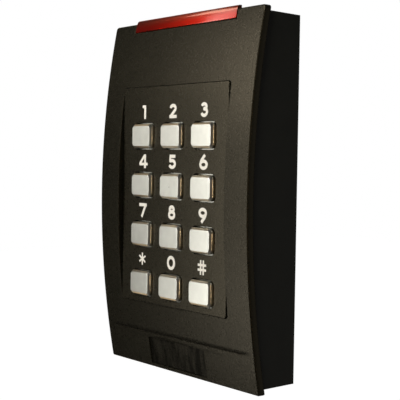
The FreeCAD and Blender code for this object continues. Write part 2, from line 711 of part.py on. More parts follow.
def make_buzzer():
    front_y = MAIN_FRONT_Y - BUZZER_T
    body = rod_y(BUZZER_X, BUZZER_Z, BUZZER_R, front_y, MAIN_FRONT_Y)
    return body.cut(rod_y(BUZZER_X, BUZZER_Z, BUZZER_HOLE_R, front_y, front_y + BUZZER_HOLE_DEPTH))


def chip_with_legs(side, thick, x, z, per_side):
    """A square package with gull-wing legs, drawn as flat feet, on all four sides."""
    chip = on_main(side, side, thick, x, z, CHIP_R)
    reach = side + 2 * LEG_REACH
    width = LEG_PITCH / 2
    for i in range(per_side):
        step = (i - (per_side - 1) / 2) * LEG_PITCH
        chip = chip.fuse(on_main(reach, width, LEG_T, x, z + step))
        chip = chip.fuse(on_main(width, reach, LEG_T, x + step, z))
    return chip


def make_controller_chip():
    return chip_with_legs(**CONTROLLER)


def make_radio_chip():
    return chip_with_legs(**RADIO)


def make_voltage_regulator():
    width, height, thick = REGULATOR_SIZE
    body = on_main(width, height, thick, REGULATOR_X, REGULATOR_Z)
    body = body.fuse(on_main(*REGULATOR_LEGS, REGULATOR_X, REGULATOR_Z))
    mark_x = REGULATOR_X - width / 2 + 3 * PIN_MARK_R
    mark_z = REGULATOR_Z + height / 2 - 3 * PIN_MARK_R
    mark_y = MAIN_FRONT_Y - thick + PIN_MARK_DEPTH
    return body.cut(rod_y(mark_x, mark_z, PIN_MARK_R, -BIG, mark_y))


def make_capacitors():
    cans = []
    for x, z in CAPACITOR_PLACES:
        base = on_main(CAPACITOR_BASE, CAPACITOR_BASE, CAPACITOR_BASE_T, x, z, CAPACITOR_BASE_T)
        can = rod_y(x, z, CAPACITOR_R, MAIN_FRONT_Y - CAPACITOR_T, MAIN_FRONT_Y)
        cans.append(base.fuse(can))
    return group(cans)


def make_crystal():
    return on_main(*CRYSTAL_SIZE, CRYSTAL_X, CRYSTAL_Z, CRYSTAL_R)


def make_board_connector():
    return slab(CONNECTOR_W, CONNECTOR_H, CONNECTOR_R, KEYPAD_BOARD_BACK_Y, MAIN_FRONT_Y,
                0, CONNECTOR_Z)


def terminal_places():
    return [(i - (TERMINAL_COUNT - 1) / 2) * TERMINAL_PITCH for i in range(TERMINAL_COUNT)]


def make_terminal_block():
    half = TERMINAL_COUNT * TERMINAL_PITCH / 2 + TERMINAL_END
    block = wide_box(half, MAIN_BACK_Y, TERMINAL_BACK_Y, TERMINAL_BOTTOM_Z, TERMINAL_TOP_Z)
    for x in terminal_places():
        block = block.cut(rod_y(x, TERMINAL_SCREW_Z, TERMINAL_WELL_R,
                                TERMINAL_BACK_Y - TERMINAL_WELL, 0))
        block = block.cut(box(x - WIRE_HW, x + WIRE_HW, WIRE_FRONT_Y, WIRE_BACK_Y,
                              TERMINAL_BOTTOM_Z - 1, WIRE_TOP_Z))
    return block


def make_terminal_screws():
    back_y = TERMINAL_BACK_Y - TERMINAL_HEAD_SUNK
    screws = []
    for x in terminal_places():
        head = rod_y(x, TERMINAL_SCREW_Z, TERMINAL_HEAD_R, TERMINAL_BACK_Y - TERMINAL_WELL, back_y)
        slot = slab(2 * TERMINAL_WELL_R, TERMINAL_SLOT_W, 0, back_y - TERMINAL_SLOT, 0,
                    x, TERMINAL_SCREW_Z)
        screws.append(head.cut(slot))
    return group(screws)


def make_tamper_sensor():
    back_y = MAIN_BACK_Y + TAMPER_T
    body = slab(TAMPER_W, TAMPER_H, TAMPER_R, MAIN_BACK_Y, back_y, 0, TAMPER_Z)
    return body.cut(slab(TAMPER_EYE_W, TAMPER_EYE_H, TAMPER_EYE_R, back_y - TAMPER_EYE_DEPTH, 0,
                         0, TAMPER_Z))


def parts():
    yield "front_cover", make_front_cover()
    yield "keypad_panel", make_keypad_panel()
    yield "light_bar", make_light_bar()
    yield "light_diffuser", make_light_diffuser()
    yield "nameplate", make_nameplate()
    yield "cover_gasket", make_cover_gasket()
    yield "cover_screws", make_cover_screws()
    yield "rear_housing", make_rear_housing()
    yield "mounting_plate", make_mounting_plate()
    yield "security_screw", make_security_screw()
    for name, x, z in key_places():
        yield "key_" + name, make_key(name, x, z)
    yield "keypad_mat", make_keypad_mat()
    yield "key_contacts", make_key_contacts()
    yield "keypad_board", make_keypad_board()
    yield "keypad_board_screws", make_keypad_screws()
    yield "main_board", make_main_board()
    yield "main_board_screws", make_main_board_screws()
    yield "antenna_coil", make_antenna_coil()
    yield "status_leds", make_status_leds()
    yield "buzzer", make_buzzer()
    yield "controller_chip", make_controller_chip()
    yield "radio_chip", make_radio_chip()
    yield "voltage_regulator", make_voltage_regulator()
    yield "capacitors", make_capacitors()
    yield "crystal", make_crystal()
    yield "board_connector", make_board_connector()
    yield "terminal_block", make_terminal_block()
    yield "terminal_screws", make_terminal_screws()
    yield "tamper_sensor", make_tamper_sensor()


os.makedirs("parts", exist_ok=True)
for node, shape in parts():
    size = shape.BoundBox
    print("%-20s valid=%s solids=%d volume=%.1f  x %.2f..%.2f  y %.2f..%.2f  z %.2f..%.2f" % (
        node, shape.isValid(), len(shape.Solids), shape.Volume,
        size.XMin, size.XMax, size.YMin, size.YMax, size.ZMin, size.ZMax))
    shape.exportStep(os.path.join("parts", node + ".step"))
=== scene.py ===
import json
import math

import bmesh
import bpy
from mathutils import Matrix, Vector

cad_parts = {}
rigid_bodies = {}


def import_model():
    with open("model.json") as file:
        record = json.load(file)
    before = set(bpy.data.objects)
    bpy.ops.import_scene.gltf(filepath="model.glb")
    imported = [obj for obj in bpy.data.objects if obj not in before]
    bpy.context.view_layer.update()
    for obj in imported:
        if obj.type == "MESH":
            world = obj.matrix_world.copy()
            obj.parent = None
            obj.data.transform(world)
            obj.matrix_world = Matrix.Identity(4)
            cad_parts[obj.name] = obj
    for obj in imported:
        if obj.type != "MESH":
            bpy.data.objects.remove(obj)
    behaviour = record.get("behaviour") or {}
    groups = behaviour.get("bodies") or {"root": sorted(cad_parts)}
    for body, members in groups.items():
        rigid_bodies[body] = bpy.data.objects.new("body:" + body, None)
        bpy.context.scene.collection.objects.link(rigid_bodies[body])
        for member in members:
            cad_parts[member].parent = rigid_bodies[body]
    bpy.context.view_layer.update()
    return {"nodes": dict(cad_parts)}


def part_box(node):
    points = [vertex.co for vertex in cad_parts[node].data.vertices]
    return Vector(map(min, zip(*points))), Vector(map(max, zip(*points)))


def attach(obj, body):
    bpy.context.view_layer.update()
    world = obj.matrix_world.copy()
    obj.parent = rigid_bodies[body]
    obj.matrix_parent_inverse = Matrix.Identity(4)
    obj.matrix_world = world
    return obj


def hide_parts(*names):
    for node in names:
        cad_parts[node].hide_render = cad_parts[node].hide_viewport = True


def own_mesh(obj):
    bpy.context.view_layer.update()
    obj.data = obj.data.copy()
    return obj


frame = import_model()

# A wall-mount card reader with a keypad. Lengths here are millimetres in the
# frame's axes, +X right, +Y into the wall, +Z up; MM turns them into metres.
MM = 0.001


def cad(node):
    """Lowest and highest corner of a CAD node, in millimetres."""
    low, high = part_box(node)
    return low / MM, high / MM


# ---- sizes read from the frame ----
COVER_LOW, COVER_HIGH = cad("front_cover")
PANEL_LOW, PANEL_HIGH = cad("keypad_panel")
BAR_LOW, BAR_HIGH = cad("light_bar")
BADGE_LOW, BADGE_HIGH = cad("nameplate")
MAT_LOW, MAT_HIGH = cad("keypad_mat")
KEY_LOW, KEY_HIGH = cad("key_1")
KEY_NODES = ("1", "2", "3", "4", "5", "6", "7", "8", "9", "star", "0", "hash")
HALF_W = COVER_HIGH.x
HALF_H = COVER_HIGH.z
CREST_Y = COVER_LOW.y
PANEL_Y = PANEL_LOW.y
KEY_FRONT_Y = KEY_LOW.y
KEY_BACK_Y = KEY_HIGH.y

# ---- how the meshes are made ----
HOLD = 0.12                  # flat strip round each face, so its rounded rim shades on its own
STRIP = 2.0                  # spacing of the cuts that let a flat mesh take the bow
ROUND_STEPS = 4              # steps round a quarter of an edge rounding
CORNER_SHRINK = 0.9          # how far a corner's radius shrinks, as a share of the inset
ROUND_TRIM = 0.01            # what is left straight on each side of a round outline
SINK_SLOPE = 0.8             # depth of a sunk rim's chamfer, as a share of its width
HIDDEN_R = 0.05              # edge rounding where one part of a moulding meets another
INNER_R = 0.1                # edge rounding on back faces
PIECE_ANGLE = 35             # degrees past which an edge is shaded sharp
NODE_ANGLE = 30              # the same on legends and copied nodes
FLAT_ANGLE = 0.3             # degrees within which faces of a copied node are joined
LEVEL_TOL = 1e-4             # a point this close to a plane lies on it
CUT_TOL = 1e-5               # a cut reuses a point that is closer than this
WELD_TOL = 1e-4              # points closer than this are one
NODE_WELD_TOL = 1e-3         # the same in a copied node
CLOSED_TOL = 1e-6            # a stroke whose ends are closer than this is a ring
NODE_EDGE_SEGMENTS = 2       # steps round each edge of a copied node
HOUSING_EDGE_R = 0.25

# ---- cover plate ----
BOW_SAG = 6.0                # how far the top and bottom edges fall behind the crest
BOW_R = (HALF_H ** 2 + BOW_SAG ** 2) / (2 * BOW_SAG)
BAND = 2.8                   # thickness, measured along Y
COVER_TOP_R = 1.1            # upper corners seen from the front
COVER_BOTTOM_R = 0.6         # lower corners
COVER_FRONT_R = 0.35         # front edge, all round
COVER_REAR_R = 0.5           # back edge, all round
WINDOW_HW = 30.5
WINDOW_HH = 37.85
WINDOW_R = 1.2
WINDOW_EDGE_R = 0.12
GROOVE_HW = 37.0
GROOVE_Z = -48.5
GROOVE_W = 0.32
GROOVE_DEPTH = 0.25
GROOVE_CHAMFER = 0.07

# ---- behind the cover ----
FRAME_HW = 34.5              # frame moulded round the window
FRAME_HH = 41.5
FRAME_R = 1.5
FRAME_Y = -18.4              # its flat back
FRAME_MIN_T = 0.1
LIP_HW = 38.3                # rib inside the housing wall
LIP_HH = 56.7
LIP_T = 1.3
LIP_R = 1.0
LIP_FRONT_Y = -16.3
LIP_BACK_Y = -13.0
BOSS_X = 33.5                # screw boss in each corner
BOSS_Z = 51.5
BOSS_R = 3.2
BOSS_HOLE_R = 1.25
BOSS_FRONT_Y = -16.6
BOSS_BACK_Y = -9.0
RIB_EDGE_R = 0.2

# ---- nameplate ----
BADGE_GAP = 0.2
BADGE_SUNK = 0.45
BADGE_T = 0.47
BADGE_R = 0.3
BADGE_EDGE_R = 0.1
BADGE_POCKET = 0.92
BADGE_CHAMFER = 0.1

# ---- light bar ----
NOTCH_GAP = 0.1
BAR_BOTTOM_Z = 57.9          # lower end of the front that shows
BAR_PROUD = 0.1
BAR_CROWN_RISE = 1.9         # the upper front leans back along an arc
BAR_CROWN_RECESS = 0.45      # as far as this behind the bow at the very top
BAR_HEAD_T = 1.2
BAR_TIP_R = 0.35
BAR_SHOULDER_Z = 60.8
BAR_LEG_TOP_Z = 59.3
BAR_LEG_FRONT_Y = -15.6
BAR_EDGE_R = 0.15
BAR_SHARP = 0.6              # radians past which an edge of the bar is rounded
BAR_FRONT_STEPS = 6
BAR_CROWN_STEPS = 8
BAR_EDGE_SEGMENTS = 3
LENS_SHEEN_LOW = 59.3         # the red is mixed with a painted pale sheen between these heights, standing in for a highlight
LENS_SHEEN_HIGH = 61.4

# ---- keypad ----
PANEL_HW = 29.95
PANEL_HH = 37.72
PANEL_R = 0.9
PANEL_EDGE_R = 0.15
PANEL_HOLE_EDGE_R = 0.12
PANEL_T = 2.0
PANEL_WALL = 1.2             # side wall behind the face
PANEL_WALL_START = 0.2       # how far inside the face the wall begins
PANEL_IN_R = 0.5
FLANGE_T = 1.5
FLANGE_R = 1.0
FLANGE_EDGE_R = 0.15
KEY_GAP = 0.45
KEY_R = 1.7
KEY_CHAMFER = 0.72
KEY_SOFT_R = 0.22            # rounding at each end of the chamfer
KEY_FLANGE_X = 1.1
KEY_FLANGE_Z = 0.7
KEY_FLANGE_T = 0.8
KEY_TRIM = 0.1               # chamfer on the flange and at its root
KEY_CORNER_STEPS = 8
PIP_KEY = "5"                # the key with the raised locating dot
PIP_R = 0.5
PIP_SUNK = 0.3

# ---- printed legends ----
LEGEND_RISE = 8.38           # legend centre above key centre
LEGEND_HH = 2.43
STROKE = 1.12
STAR_STROKE = 0.68
STAR_REACH = 2.15
HASH_UPRIGHT_X = 0.72        # middle of each upright bar, left and right
HASH_UPRIGHT = 0.72
HASH_LEVEL_Z = 0.8
HASH_LEVEL_HW = 2.25
HASH_LEVEL = 0.82
INK_T = 0.04

# ---- silicone mat ----
MAT_T = 1.0
MAT_R = 0.8
MAT_EDGE_R = 0.15
DOME_BASE_R = 4.2
DOME_TOP_R = 2.7
DOME_HOLLOW_R = 3.1
DOME_WALL = 0.45
DOME_FOOT_W = 0.35           # foot where the dome grows out of the sheet
DOME_FOOT_T = 0.2
DOME_SHOULDER = ((0.0, 0.3), (0.1, 0.1), (0.35, 0.0))    # in from the side, down from the top
DOME_RIM_R = 1.2             # flat ring on top of the dome, round a dimple
DOME_DIMPLE_R = 0.9
DOME_DIMPLE = 0.12
DOME_SIDES = 36
DOME_ROOF = ((1, 1.6), (2, 1.3))   # in from the side, down from the top, in wall thicknesses
DOME_ROOF_T = 1.2            # thickness over the middle, in wall thicknesses

# ---- colours ----
CHARCOAL = (0.0065, 0.0062, 0.0042)          # cover and panel
HOUSING_BLACK = (0.0065, 0.0067, 0.0045)
FOIL_BLACK = (0.0055, 0.0052, 0.0038)
PART_BLACK = (0.015, 0.015, 0.016)
INK_WHITE = (0.88, 0.85, 0.79)
NICKEL = (0.83, 0.84, 0.79)
LENS_RED = (0.33, 0.012, 0.004)
# painted highlight: a pale sheen mixed into the lens colour near its top edge
LENS_PAINTED_SHEEN = (0.2, 0.045, 0.03)
LENS_SHINE = (1.0, 0.1, 0.05)
MAT_GREY = (0.32, 0.33, 0.35)
VIA_TIN = (0.62, 0.60, 0.55)
ZINC_DARK = (0.46, 0.47, 0.48)
ZINC_PALE = (0.52, 0.53, 0.54)
ZINC_SCREW = (0.55, 0.55, 0.53)
MILK_WHITE = (0.75, 0.74, 0.70)
LAMP_WHITE = (0.80, 0.78, 0.70)
BOARD_GREEN = (0.010, 0.085, 0.035)
TRACE_GREEN = (0.03, 0.17, 0.07)
TERMINAL_GREEN = (0.03, 0.20, 0.07)
GOLD = (0.95, 0.68, 0.27)
COPPER = (0.80, 0.35, 0.16)
CAN_GREY = (0.75, 0.76, 0.78)
WARM_TINT = (1.0, 0.84, 0.54)
WHITE = (1.0, 1.0, 1.0)
GLOSS_SPREAD = 0.04          # how far the roughness of a skin strays either way
RAMP_LOW = 0.3               # noise below and above these gives the plain end colours
RAMP_HIGH = 0.7

# ---- stage, lights and camera ----
FLOOR_SIZE = 6000
FLOOR_Z = -320
FLOOR_COLOUR = (0.25, 0.25, 0.25)
FLOOR_ROUGHNESS = 0.9
AMBIENT = 0.03
GOLD_LIGHT = (1.0, 0.68, 0.36)
DAYLIGHT = (1.0, 0.97, 0.90)
WARM_LIGHT = (1.0, 0.86, 0.66)
SOFT_LIGHT = (1.0, 0.92, 0.80)
CAMERA_PLACE = (289.1, -231.1, 13.22)
CAMERA_YAW = 52.61
CAMERA_PITCH = 2.286
CAMERA_ROLL = 0.857
CAMERA_LENS = 94.65
CAMERA_SENSOR = 36.0
CLIP_NEAR = 10
CLIP_FAR = 20000

# Each light: name, place, target, size, watts, colour, and the starts of the
# names of the pieces that it reaches. A light with no such names reaches everything.
LIGHTS = (
    ("strip", (-203, -260, 10), (0, -20, 10), (60, 600), 0.395, DAYLIGHT, ()),
    ("strip_boost", (-212, -252, 130), (0, -20, 20), (60, 110), 0.097, SOFT_LIGHT, ()),
    ("strip_low", (-222, -244, -140), (0, -20, -20), (60, 120), 0.026, DAYLIGHT,
     ("cover", "keycap", "nameplate")),
    ("crown_light", (-252, -210, 275), (22, -17, 61), (110, 90), 0.22, WARM_LIGHT,
     ("light_bar",)),
    ("ink_light", (150, -300, 330), (0, 0, 0), (120, 120), 1.9, DAYLIGHT,
     ("legend", "cover", "panel", "nameplate", "rear_housing")),
    ("edge_glint", (380, -50, 0), (0, 0, 0), (30, 300), 0.12, GOLD_LIGHT, ("cover_shell",)),
    ("key_glint", (372, -110, 0), (0, 0, 0), (30, 300), 0.5, GOLD_LIGHT, ("keycap",)),
    ("key_wash", (-300, -185, 70), (-10, -23, 0), (60, 200), 0.024, DAYLIGHT, ("keycap",)),
    ("table_bounce", (-340, 20, -270), (0, -20, 0), (160, 160), 0.09, GOLD_LIGHT, ("keycap",)),
    ("ceiling_bounce", (-340, 0, 270), (0, -20, 0), (160, 160), 0.05, GOLD_LIGHT, ("keycap",)),
    ("front_softbox", (-110, -620, 60), (0, 0, 0), (320, 420), 0.5, SOFT_LIGHT, ()),
    ("back_softbox", (-160, 560, 260), (0, 0, 0), (360, 360), 4.0, DAYLIGHT,
     ("mounting_plate", "rear_housing", "main_board", "terminal", "security")),
    ("warm_side", (-340, 170, 0), (0, -20, 0), (240, 760), 0.8, WARM_LIGHT, ()),
    ("rim_fill", (300, 250, -60), (0, 0, 0), (200, 400), 0.07, DAYLIGHT, ()),
)


# ---- mesh helpers ----

def bow_y(z):
    """Y of the cover's front surface at height z."""
    return CREST_Y + BOW_R - math.sqrt(BOW_R ** 2 - z ** 2)


def outline(x, z, half_w, half_h, radius, steps=6):
    """A rounded rectangle as (x, z) points, anticlockwise seen from the front."""
    points = []
    for sx, sz, start in ((1, 1, 0), (-1, 1, 90), (-1, -1, 180), (1, -1, 270)):
        for i in range(steps + 1):
            a = math.radians(start + 90 * i / steps)
            points.append((x + sx * (half_w - radius) + radius * math.cos(a),
                           z + sz * (half_h - radius) + radius * math.sin(a)))
    return points


def nearly_round(x, z, radius):
    return outline(x, z, radius, radius, radius - ROUND_TRIM)


def rim(half_w, half_h, radius, z=0):
    """Outline function of a plate's outer edge, which draws in by the inset."""
    return lambda inset: outline(0, z, half_w - inset, half_h - inset, radius)


def opening(half_w, half_h, radius):
    """Outline function of a hole, which widens by the inset."""
    return lambda inset: outline(0, 0, half_w + inset, half_h + inset, radius)


def quarter_turn():
    """Angles of the steps round a quarter circle, in radians."""
    return [math.radians(90 * i / ROUND_STEPS) for i in range(ROUND_STEPS + 1)]


def rounded_profile(depth, front_r, back_r):
    """(distance back from the front, inset) pairs down the side of a plate."""
    profile = [(0, front_r + HOLD)]
    for a in quarter_turn():
        profile.append((front_r * (1 - math.cos(a)), front_r * (1 - math.sin(a))))
    for a in quarter_turn():
        profile.append((depth - back_r * (1 - math.sin(a)), back_r * (1 - math.cos(a))))
    profile.append((depth, back_r + HOLD))
    return profile


def ring(bm, points, y):
    return [bm.verts.new((x, y, z)) for x, z in points]


def join_rings(bm, a, b):
    n = len(a)
    for i in range(n):
        j = (i + 1) % n
        bm.faces.new((a[i], a[j], b[j], b[i]))


def join_all(bm, rings):
    for a, b in zip(rings, rings[1:]):
        join_rings(bm, a, b)


def cap_edges(bm, loop):
    n = len(loop)
    found = []
    for i in range(n):
        pair = (loop[i], loop[(i + 1) % n])
        edge = bm.edges.get(pair)
        found.append(edge or bm.edges.new(pair))
    return found


def plate(bm, outer, holes, y_front, depth, front_r, back_r, hole_r=None):
    """A plate from outline functions of the inset. Holes widen at their edges."""
    hole_r = front_r if hole_r is None else hole_r
    walls = [(outer, rounded_profile(depth, front_r, back_r))]
    walls += [(hole, rounded_profile(depth, hole_r, min(hole_r, back_r))) for hole in holes]
    fronts = []
    backs = []
    for shape, profile in walls:
        rings = [ring(bm, shape(inset), y_front + back) for back, inset in profile]
        join_all(bm, rings)
        fronts += cap_edges(bm, rings[0])
        backs += cap_edges(bm, rings[-1])
    for edges in (fronts, backs):
        bmesh.ops.triangle_fill(bm, use_beauty=True, use_dissolve=False, edges=edges)


def slice_z(bm, z):
    geom = bm.verts[:] + bm.edges[:] + bm.faces[:]
    bmesh.ops.bisect_plane(bm, geom=geom, dist=CUT_TOL, plane_co=(0, 0, z), plane_no=(0, 0, 1))


def slice_x(bm, x, z0, z1):
    faces = [f for f in bm.faces if z0 < f.calc_center_median().z < z1]
    edges = list({e for f in faces for e in f.edges})
    verts = list({v for f in faces for v in f.verts})
    bmesh.ops.bisect_plane(bm, geom=verts + edges + faces, dist=CUT_TOL,
                           plane_co=(x, 0, 0), plane_no=(1, 0, 0))


def lies_in(face, half_w, z0, z1, y):
    """Whether a face lies at depth y with its middle inside a rectangle."""
    c = face.calc_center_median()
    level = all(abs(v.co.y - y) < LEVEL_TOL for v in face.verts)
    return level and abs(c.x) < half_w and z0 < c.z < z1


def sink(bm, half_w, z0, z1, y_front, depth, chamfer):
    """Presses a rectangle of the front face back, with a chamfer round its rim."""
    slice_z(bm, z0)
    slice_z(bm, z1)
    for x in (-half_w, half_w):
        slice_x(bm, x, z0, z1)
    chosen = [f for f in bm.faces if lies_in(f, half_w, z0, z1, y_front)]
    bmesh.ops.recalc_face_normals(bm, faces=bm.faces[:])
    slope = chamfer * SINK_SLOPE
    bmesh.ops.inset_region(bm, faces=chosen, thickness=chamfer, depth=-slope,
                           use_even_offset=True)
    made = bmesh.ops.extrude_face_region(bm, geom=chosen)
    bmesh.ops.delete(bm, geom=[f for f in chosen if f.is_valid], context="FACES_ONLY")
    verts = [v for v in made["geom"] if isinstance(v, bmesh.types.BMVert)]
    bmesh.ops.translate(bm, verts=verts, vec=(0, depth - slope, 0))


def bend_to_bow(bm):
    """Cuts the mesh in strips and moves each point back with the bow."""
    low = min(v.co.z for v in bm.verts)
    high = max(v.co.z for v in bm.verts)
    count = math.ceil((high - low) / STRIP)
    for i in range(1, count):
        slice_z(bm, low + (high - low) * i / count)
    for v in bm.verts:
        v.co.y += bow_y(v.co.z) - CREST_Y


def make_piece(name, bm, material, body, replaced=(), angle=PIECE_ANGLE, flatten=False):
    """Turns a bmesh in millimetres into a finished piece that rides on a body."""
    bmesh.ops.remove_doubles(bm, verts=bm.verts[:], dist=WELD_TOL)
    bmesh.ops.dissolve_degenerate(bm, edges=bm.edges[:], dist=WELD_TOL)
    bmesh.ops.recalc_face_normals(bm, faces=bm.faces[:])
    bmesh.ops.scale(bm, vec=(MM, MM, MM), verts=bm.verts[:])
    mesh = bpy.data.meshes.new(name)
    bm.to_mesh(mesh)
    bm.free()
    mesh.polygons.foreach_set("use_smooth", [True] * len(mesh.polygons))
    mesh.set_sharp_from_angle(angle=math.radians(angle))
    if flatten:
        mesh = weigh_normals(mesh)
    mesh.materials.clear()
    mesh.materials.append(material)
    piece = bpy.data.objects.new(name, mesh)
    bpy.context.scene.collection.objects.link(piece)
    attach(piece, body)
    if replaced:
        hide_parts(*replaced)
    return piece


def temporary(name, mesh):
    """An object that is removed again before the script ends."""
    helper = bpy.data.objects.new(name, mesh)
    bpy.context.scene.collection.objects.link(helper)
    return helper


def evaluated_copy(helper):
    """A new mesh with the helper's modifiers applied."""
    bpy.context.view_layer.update()
    graph = bpy.context.evaluated_depsgraph_get()
    return bpy.data.meshes.new_from_object(helper.evaluated_get(graph))


def weigh_normals(mesh):
    """Keeps large flat faces evenly shaded beside their rounded edges."""
    helper = temporary("helper", mesh)
    weigh = helper.modifiers.new("weigh", "WEIGHTED_NORMAL")
    weigh.keep_sharp = True
    weighted = evaluated_copy(helper)
    bpy.data.objects.remove(helper)
    return weighted


# ---- node helpers ----

def new_material(name):
    material = bpy.data.materials.new(name)
    material.use_nodes = True
    nodes = material.node_tree.nodes
    shader = nodes["Principled BSDF"]
    return material, nodes, material.node_tree.links, shader


def set_inputs(node, values):
    for name, value in values.items():
        node.inputs[name].default_value = value


def object_noise(nodes, links, scale, detail, roughness=0.5, stretch=(1, 1, 1)):
    """Noise in object space; scale is features per millimetre."""
    coords = nodes.new("ShaderNodeTexCoord")
    mapping = nodes.new("ShaderNodeMapping")
    mapping.inputs["Scale"].default_value = [s / MM for s in stretch]
    noise = nodes.new("ShaderNodeTexNoise")
    set_inputs(noise, {"Scale": scale, "Detail": detail, "Roughness": roughness})
    links.new(coords.outputs["Object"], mapping.inputs["Vector"])
    links.new(mapping.outputs["Vector"], noise.inputs["Vector"])
    return noise


def vary_colour(nodes, links, shader, source, low, high):
    ramp = nodes.new("ShaderNodeValToRGB")
    ramp.color_ramp.elements[0].position = RAMP_LOW
    ramp.color_ramp.elements[0].color = (*low, 1)
    ramp.color_ramp.elements[1].position = RAMP_HIGH
    ramp.color_ramp.elements[1].color = (*high, 1)
    links.new(source.outputs["Fac"], ramp.inputs["Fac"])
    links.new(ramp.outputs["Color"], shader.inputs["Base Color"])
    return ramp


def vary_roughness(nodes, links, shader, output, low, high):
    span = nodes.new("ShaderNodeMapRange")
    set_inputs(span, {"To Min": low, "To Max": high})
    links.new(output, span.inputs["Value"])
    links.new(span.outputs["Result"], shader.inputs["Roughness"])


def add_bump(nodes, links, shader, source, height):
    """Relief of so many millimetres from a texture's factor."""
    bump = nodes.new("ShaderNodeBump")
    bump.inputs["Distance"].default_value = height * MM
    links.new(source.outputs["Fac"], bump.inputs["Height"])
    links.new(bump.outputs["Normal"], shader.inputs["Normal"])


def scaled(colour, factor):
    return [c * factor for c in colour]


def add_mottle(nodes, links, shader, noise, colour, spread):
    vary_colour(nodes, links, shader, noise, scaled(colour, 1 - spread), scaled(colour, 1 + spread))


def add_skin(nodes, links, shader, skin, roughness, height):
    """A fine relief whose gloss is uneven in the same grain."""
    vary_roughness(nodes, links, shader, skin.outputs["Fac"],
                   roughness - GLOSS_SPREAD, roughness + GLOSS_SPREAD)
    add_bump(nodes, links, shader, skin, height)


def plastic(name, colour, roughness, grain, height, spec=0.5, spread=0.15, tint=WHITE):
    """Moulded plastic: mottled colour, uneven gloss and a spark-eroded grain."""
    material, nodes, links, shader = new_material(name)
    cloud = object_noise(nodes, links, scale=0.12, detail=3.0)
    add_mottle(nodes, links, shader, cloud, colour, spread)
    skin = object_noise(nodes, links, grain, detail=3.0, roughness=0.6)
    add_skin(nodes, links, shader, skin, roughness, height)
    set_inputs(shader, {"Specular IOR Level": spec, "Specular Tint": (*tint, 1)})
    return material


def metal(name, colour, roughness, grain=3.0, height=0.004):
    """Metal with a fine blasted skin."""
    material, nodes, links, shader = new_material(name)
    shader.inputs["Metallic"].default_value = 1.0
    cloud = object_noise(nodes, links, scale=0.3, detail=2.0)
    add_mottle(nodes, links, shader, cloud, colour, spread=0.04)
    skin = object_noise(nodes, links, grain, detail=3.0, roughness=0.6)
    add_skin(nodes, links, shader, skin, roughness, height)
    return material


def rubber(name, colour, roughness):
    """Soft moulded rubber with a dusty bloom."""
    material, nodes, links, shader = new_material(name)
    cloud = object_noise(nodes, links, scale=0.4, detail=4.0)
    vary_colour(nodes, links, shader, cloud, scaled(colour, 0.8), scaled(colour, 1.25))
    skin = object_noise(nodes, links, scale=3.0, detail=2.0)
    vary_roughness(nodes, links, shader, skin.outputs["Fac"], roughness - 0.08, roughness + 0.05)
    add_bump(nodes, links, shader, skin, height=0.02)
    shader.inputs["Sheen Weight"].default_value = 0.15
    return material


def foil(name, colour, roughness, tint):
    """Printed foil with upright bands of differing gloss."""
    material, nodes, links, shader = new_material(name)
    bands = object_noise(nodes, links, scale=0.6, detail=3.0, roughness=0.65, stretch=(1, 1, 0.02))
    vary_colour(nodes, links, shader, bands, scaled(colour, 0.3), scaled(colour, 1.6))
    gloss = nodes.new("ShaderNodeMapRange")
    set_inputs(gloss, {"From Min": 0.38, "From Max": 0.62, "To Min": 0.07, "To Max": 0.24})
    links.new(bands.outputs["Fac"], gloss.inputs["Value"])
    links.new(gloss.outputs["Result"], shader.inputs["Specular IOR Level"])
    skin = object_noise(nodes, links, scale=1.6, detail=2.0)
    add_skin(nodes, links, shader, skin, roughness, height=0.01)
    shader.inputs["Specular Tint"].default_value = (*tint, 1)
    return material


def height_share(nodes, links, low_z, high_z):
    """Output that runs from 0 at one height to 1 at another."""
    coords = nodes.new("ShaderNodeTexCoord")
    split = nodes.new("ShaderNodeSeparateXYZ")
    links.new(coords.outputs["Object"], split.inputs["Vector"])
    share = nodes.new("ShaderNodeMapRange")
    set_inputs(share, {"From Min": low_z * MM, "From Max": high_z * MM})
    links.new(split.outputs["Z"], share.inputs["Value"])
    return share.outputs["Result"]


def red_lens(name, colour, painted_sheen, roughness):
    """Red translucent plastic with a painted pale sheen mixed into its colour towards the top edge,
    and a polished skin.
    """
    material, nodes, links, shader = new_material(name)
    cloud = object_noise(nodes, links, scale=0.08, detail=2.0)
    ramp = vary_colour(nodes, links, shader, cloud, scaled(colour, 0.94), scaled(colour, 1.06))
    # painted highlight: the base colour turns to the pale sheen towards the top edge
    sheen_blend = nodes.new("ShaderNodeMixRGB")
    links.new(height_share(nodes, links, LENS_SHEEN_LOW, LENS_SHEEN_HIGH), sheen_blend.inputs["Fac"])
    links.new(ramp.outputs["Color"], sheen_blend.inputs["Color1"])
    sheen_blend.inputs["Color2"].default_value = (*painted_sheen, 1)
    links.new(sheen_blend.outputs["Color"], shader.inputs["Base Color"])
    skin = object_noise(nodes, links, scale=0.6, detail=2.0)
    vary_roughness(nodes, links, shader, skin.outputs["Fac"], roughness - 0.03, roughness + 0.03)
    set_inputs(shader, {"Metallic": 0.9, "Specular Tint": (*LENS_SHINE, 1),
                        "Coat Weight": 0.5, "Coat Roughness": 0.12, "Coat IOR": 1.6})
    return material


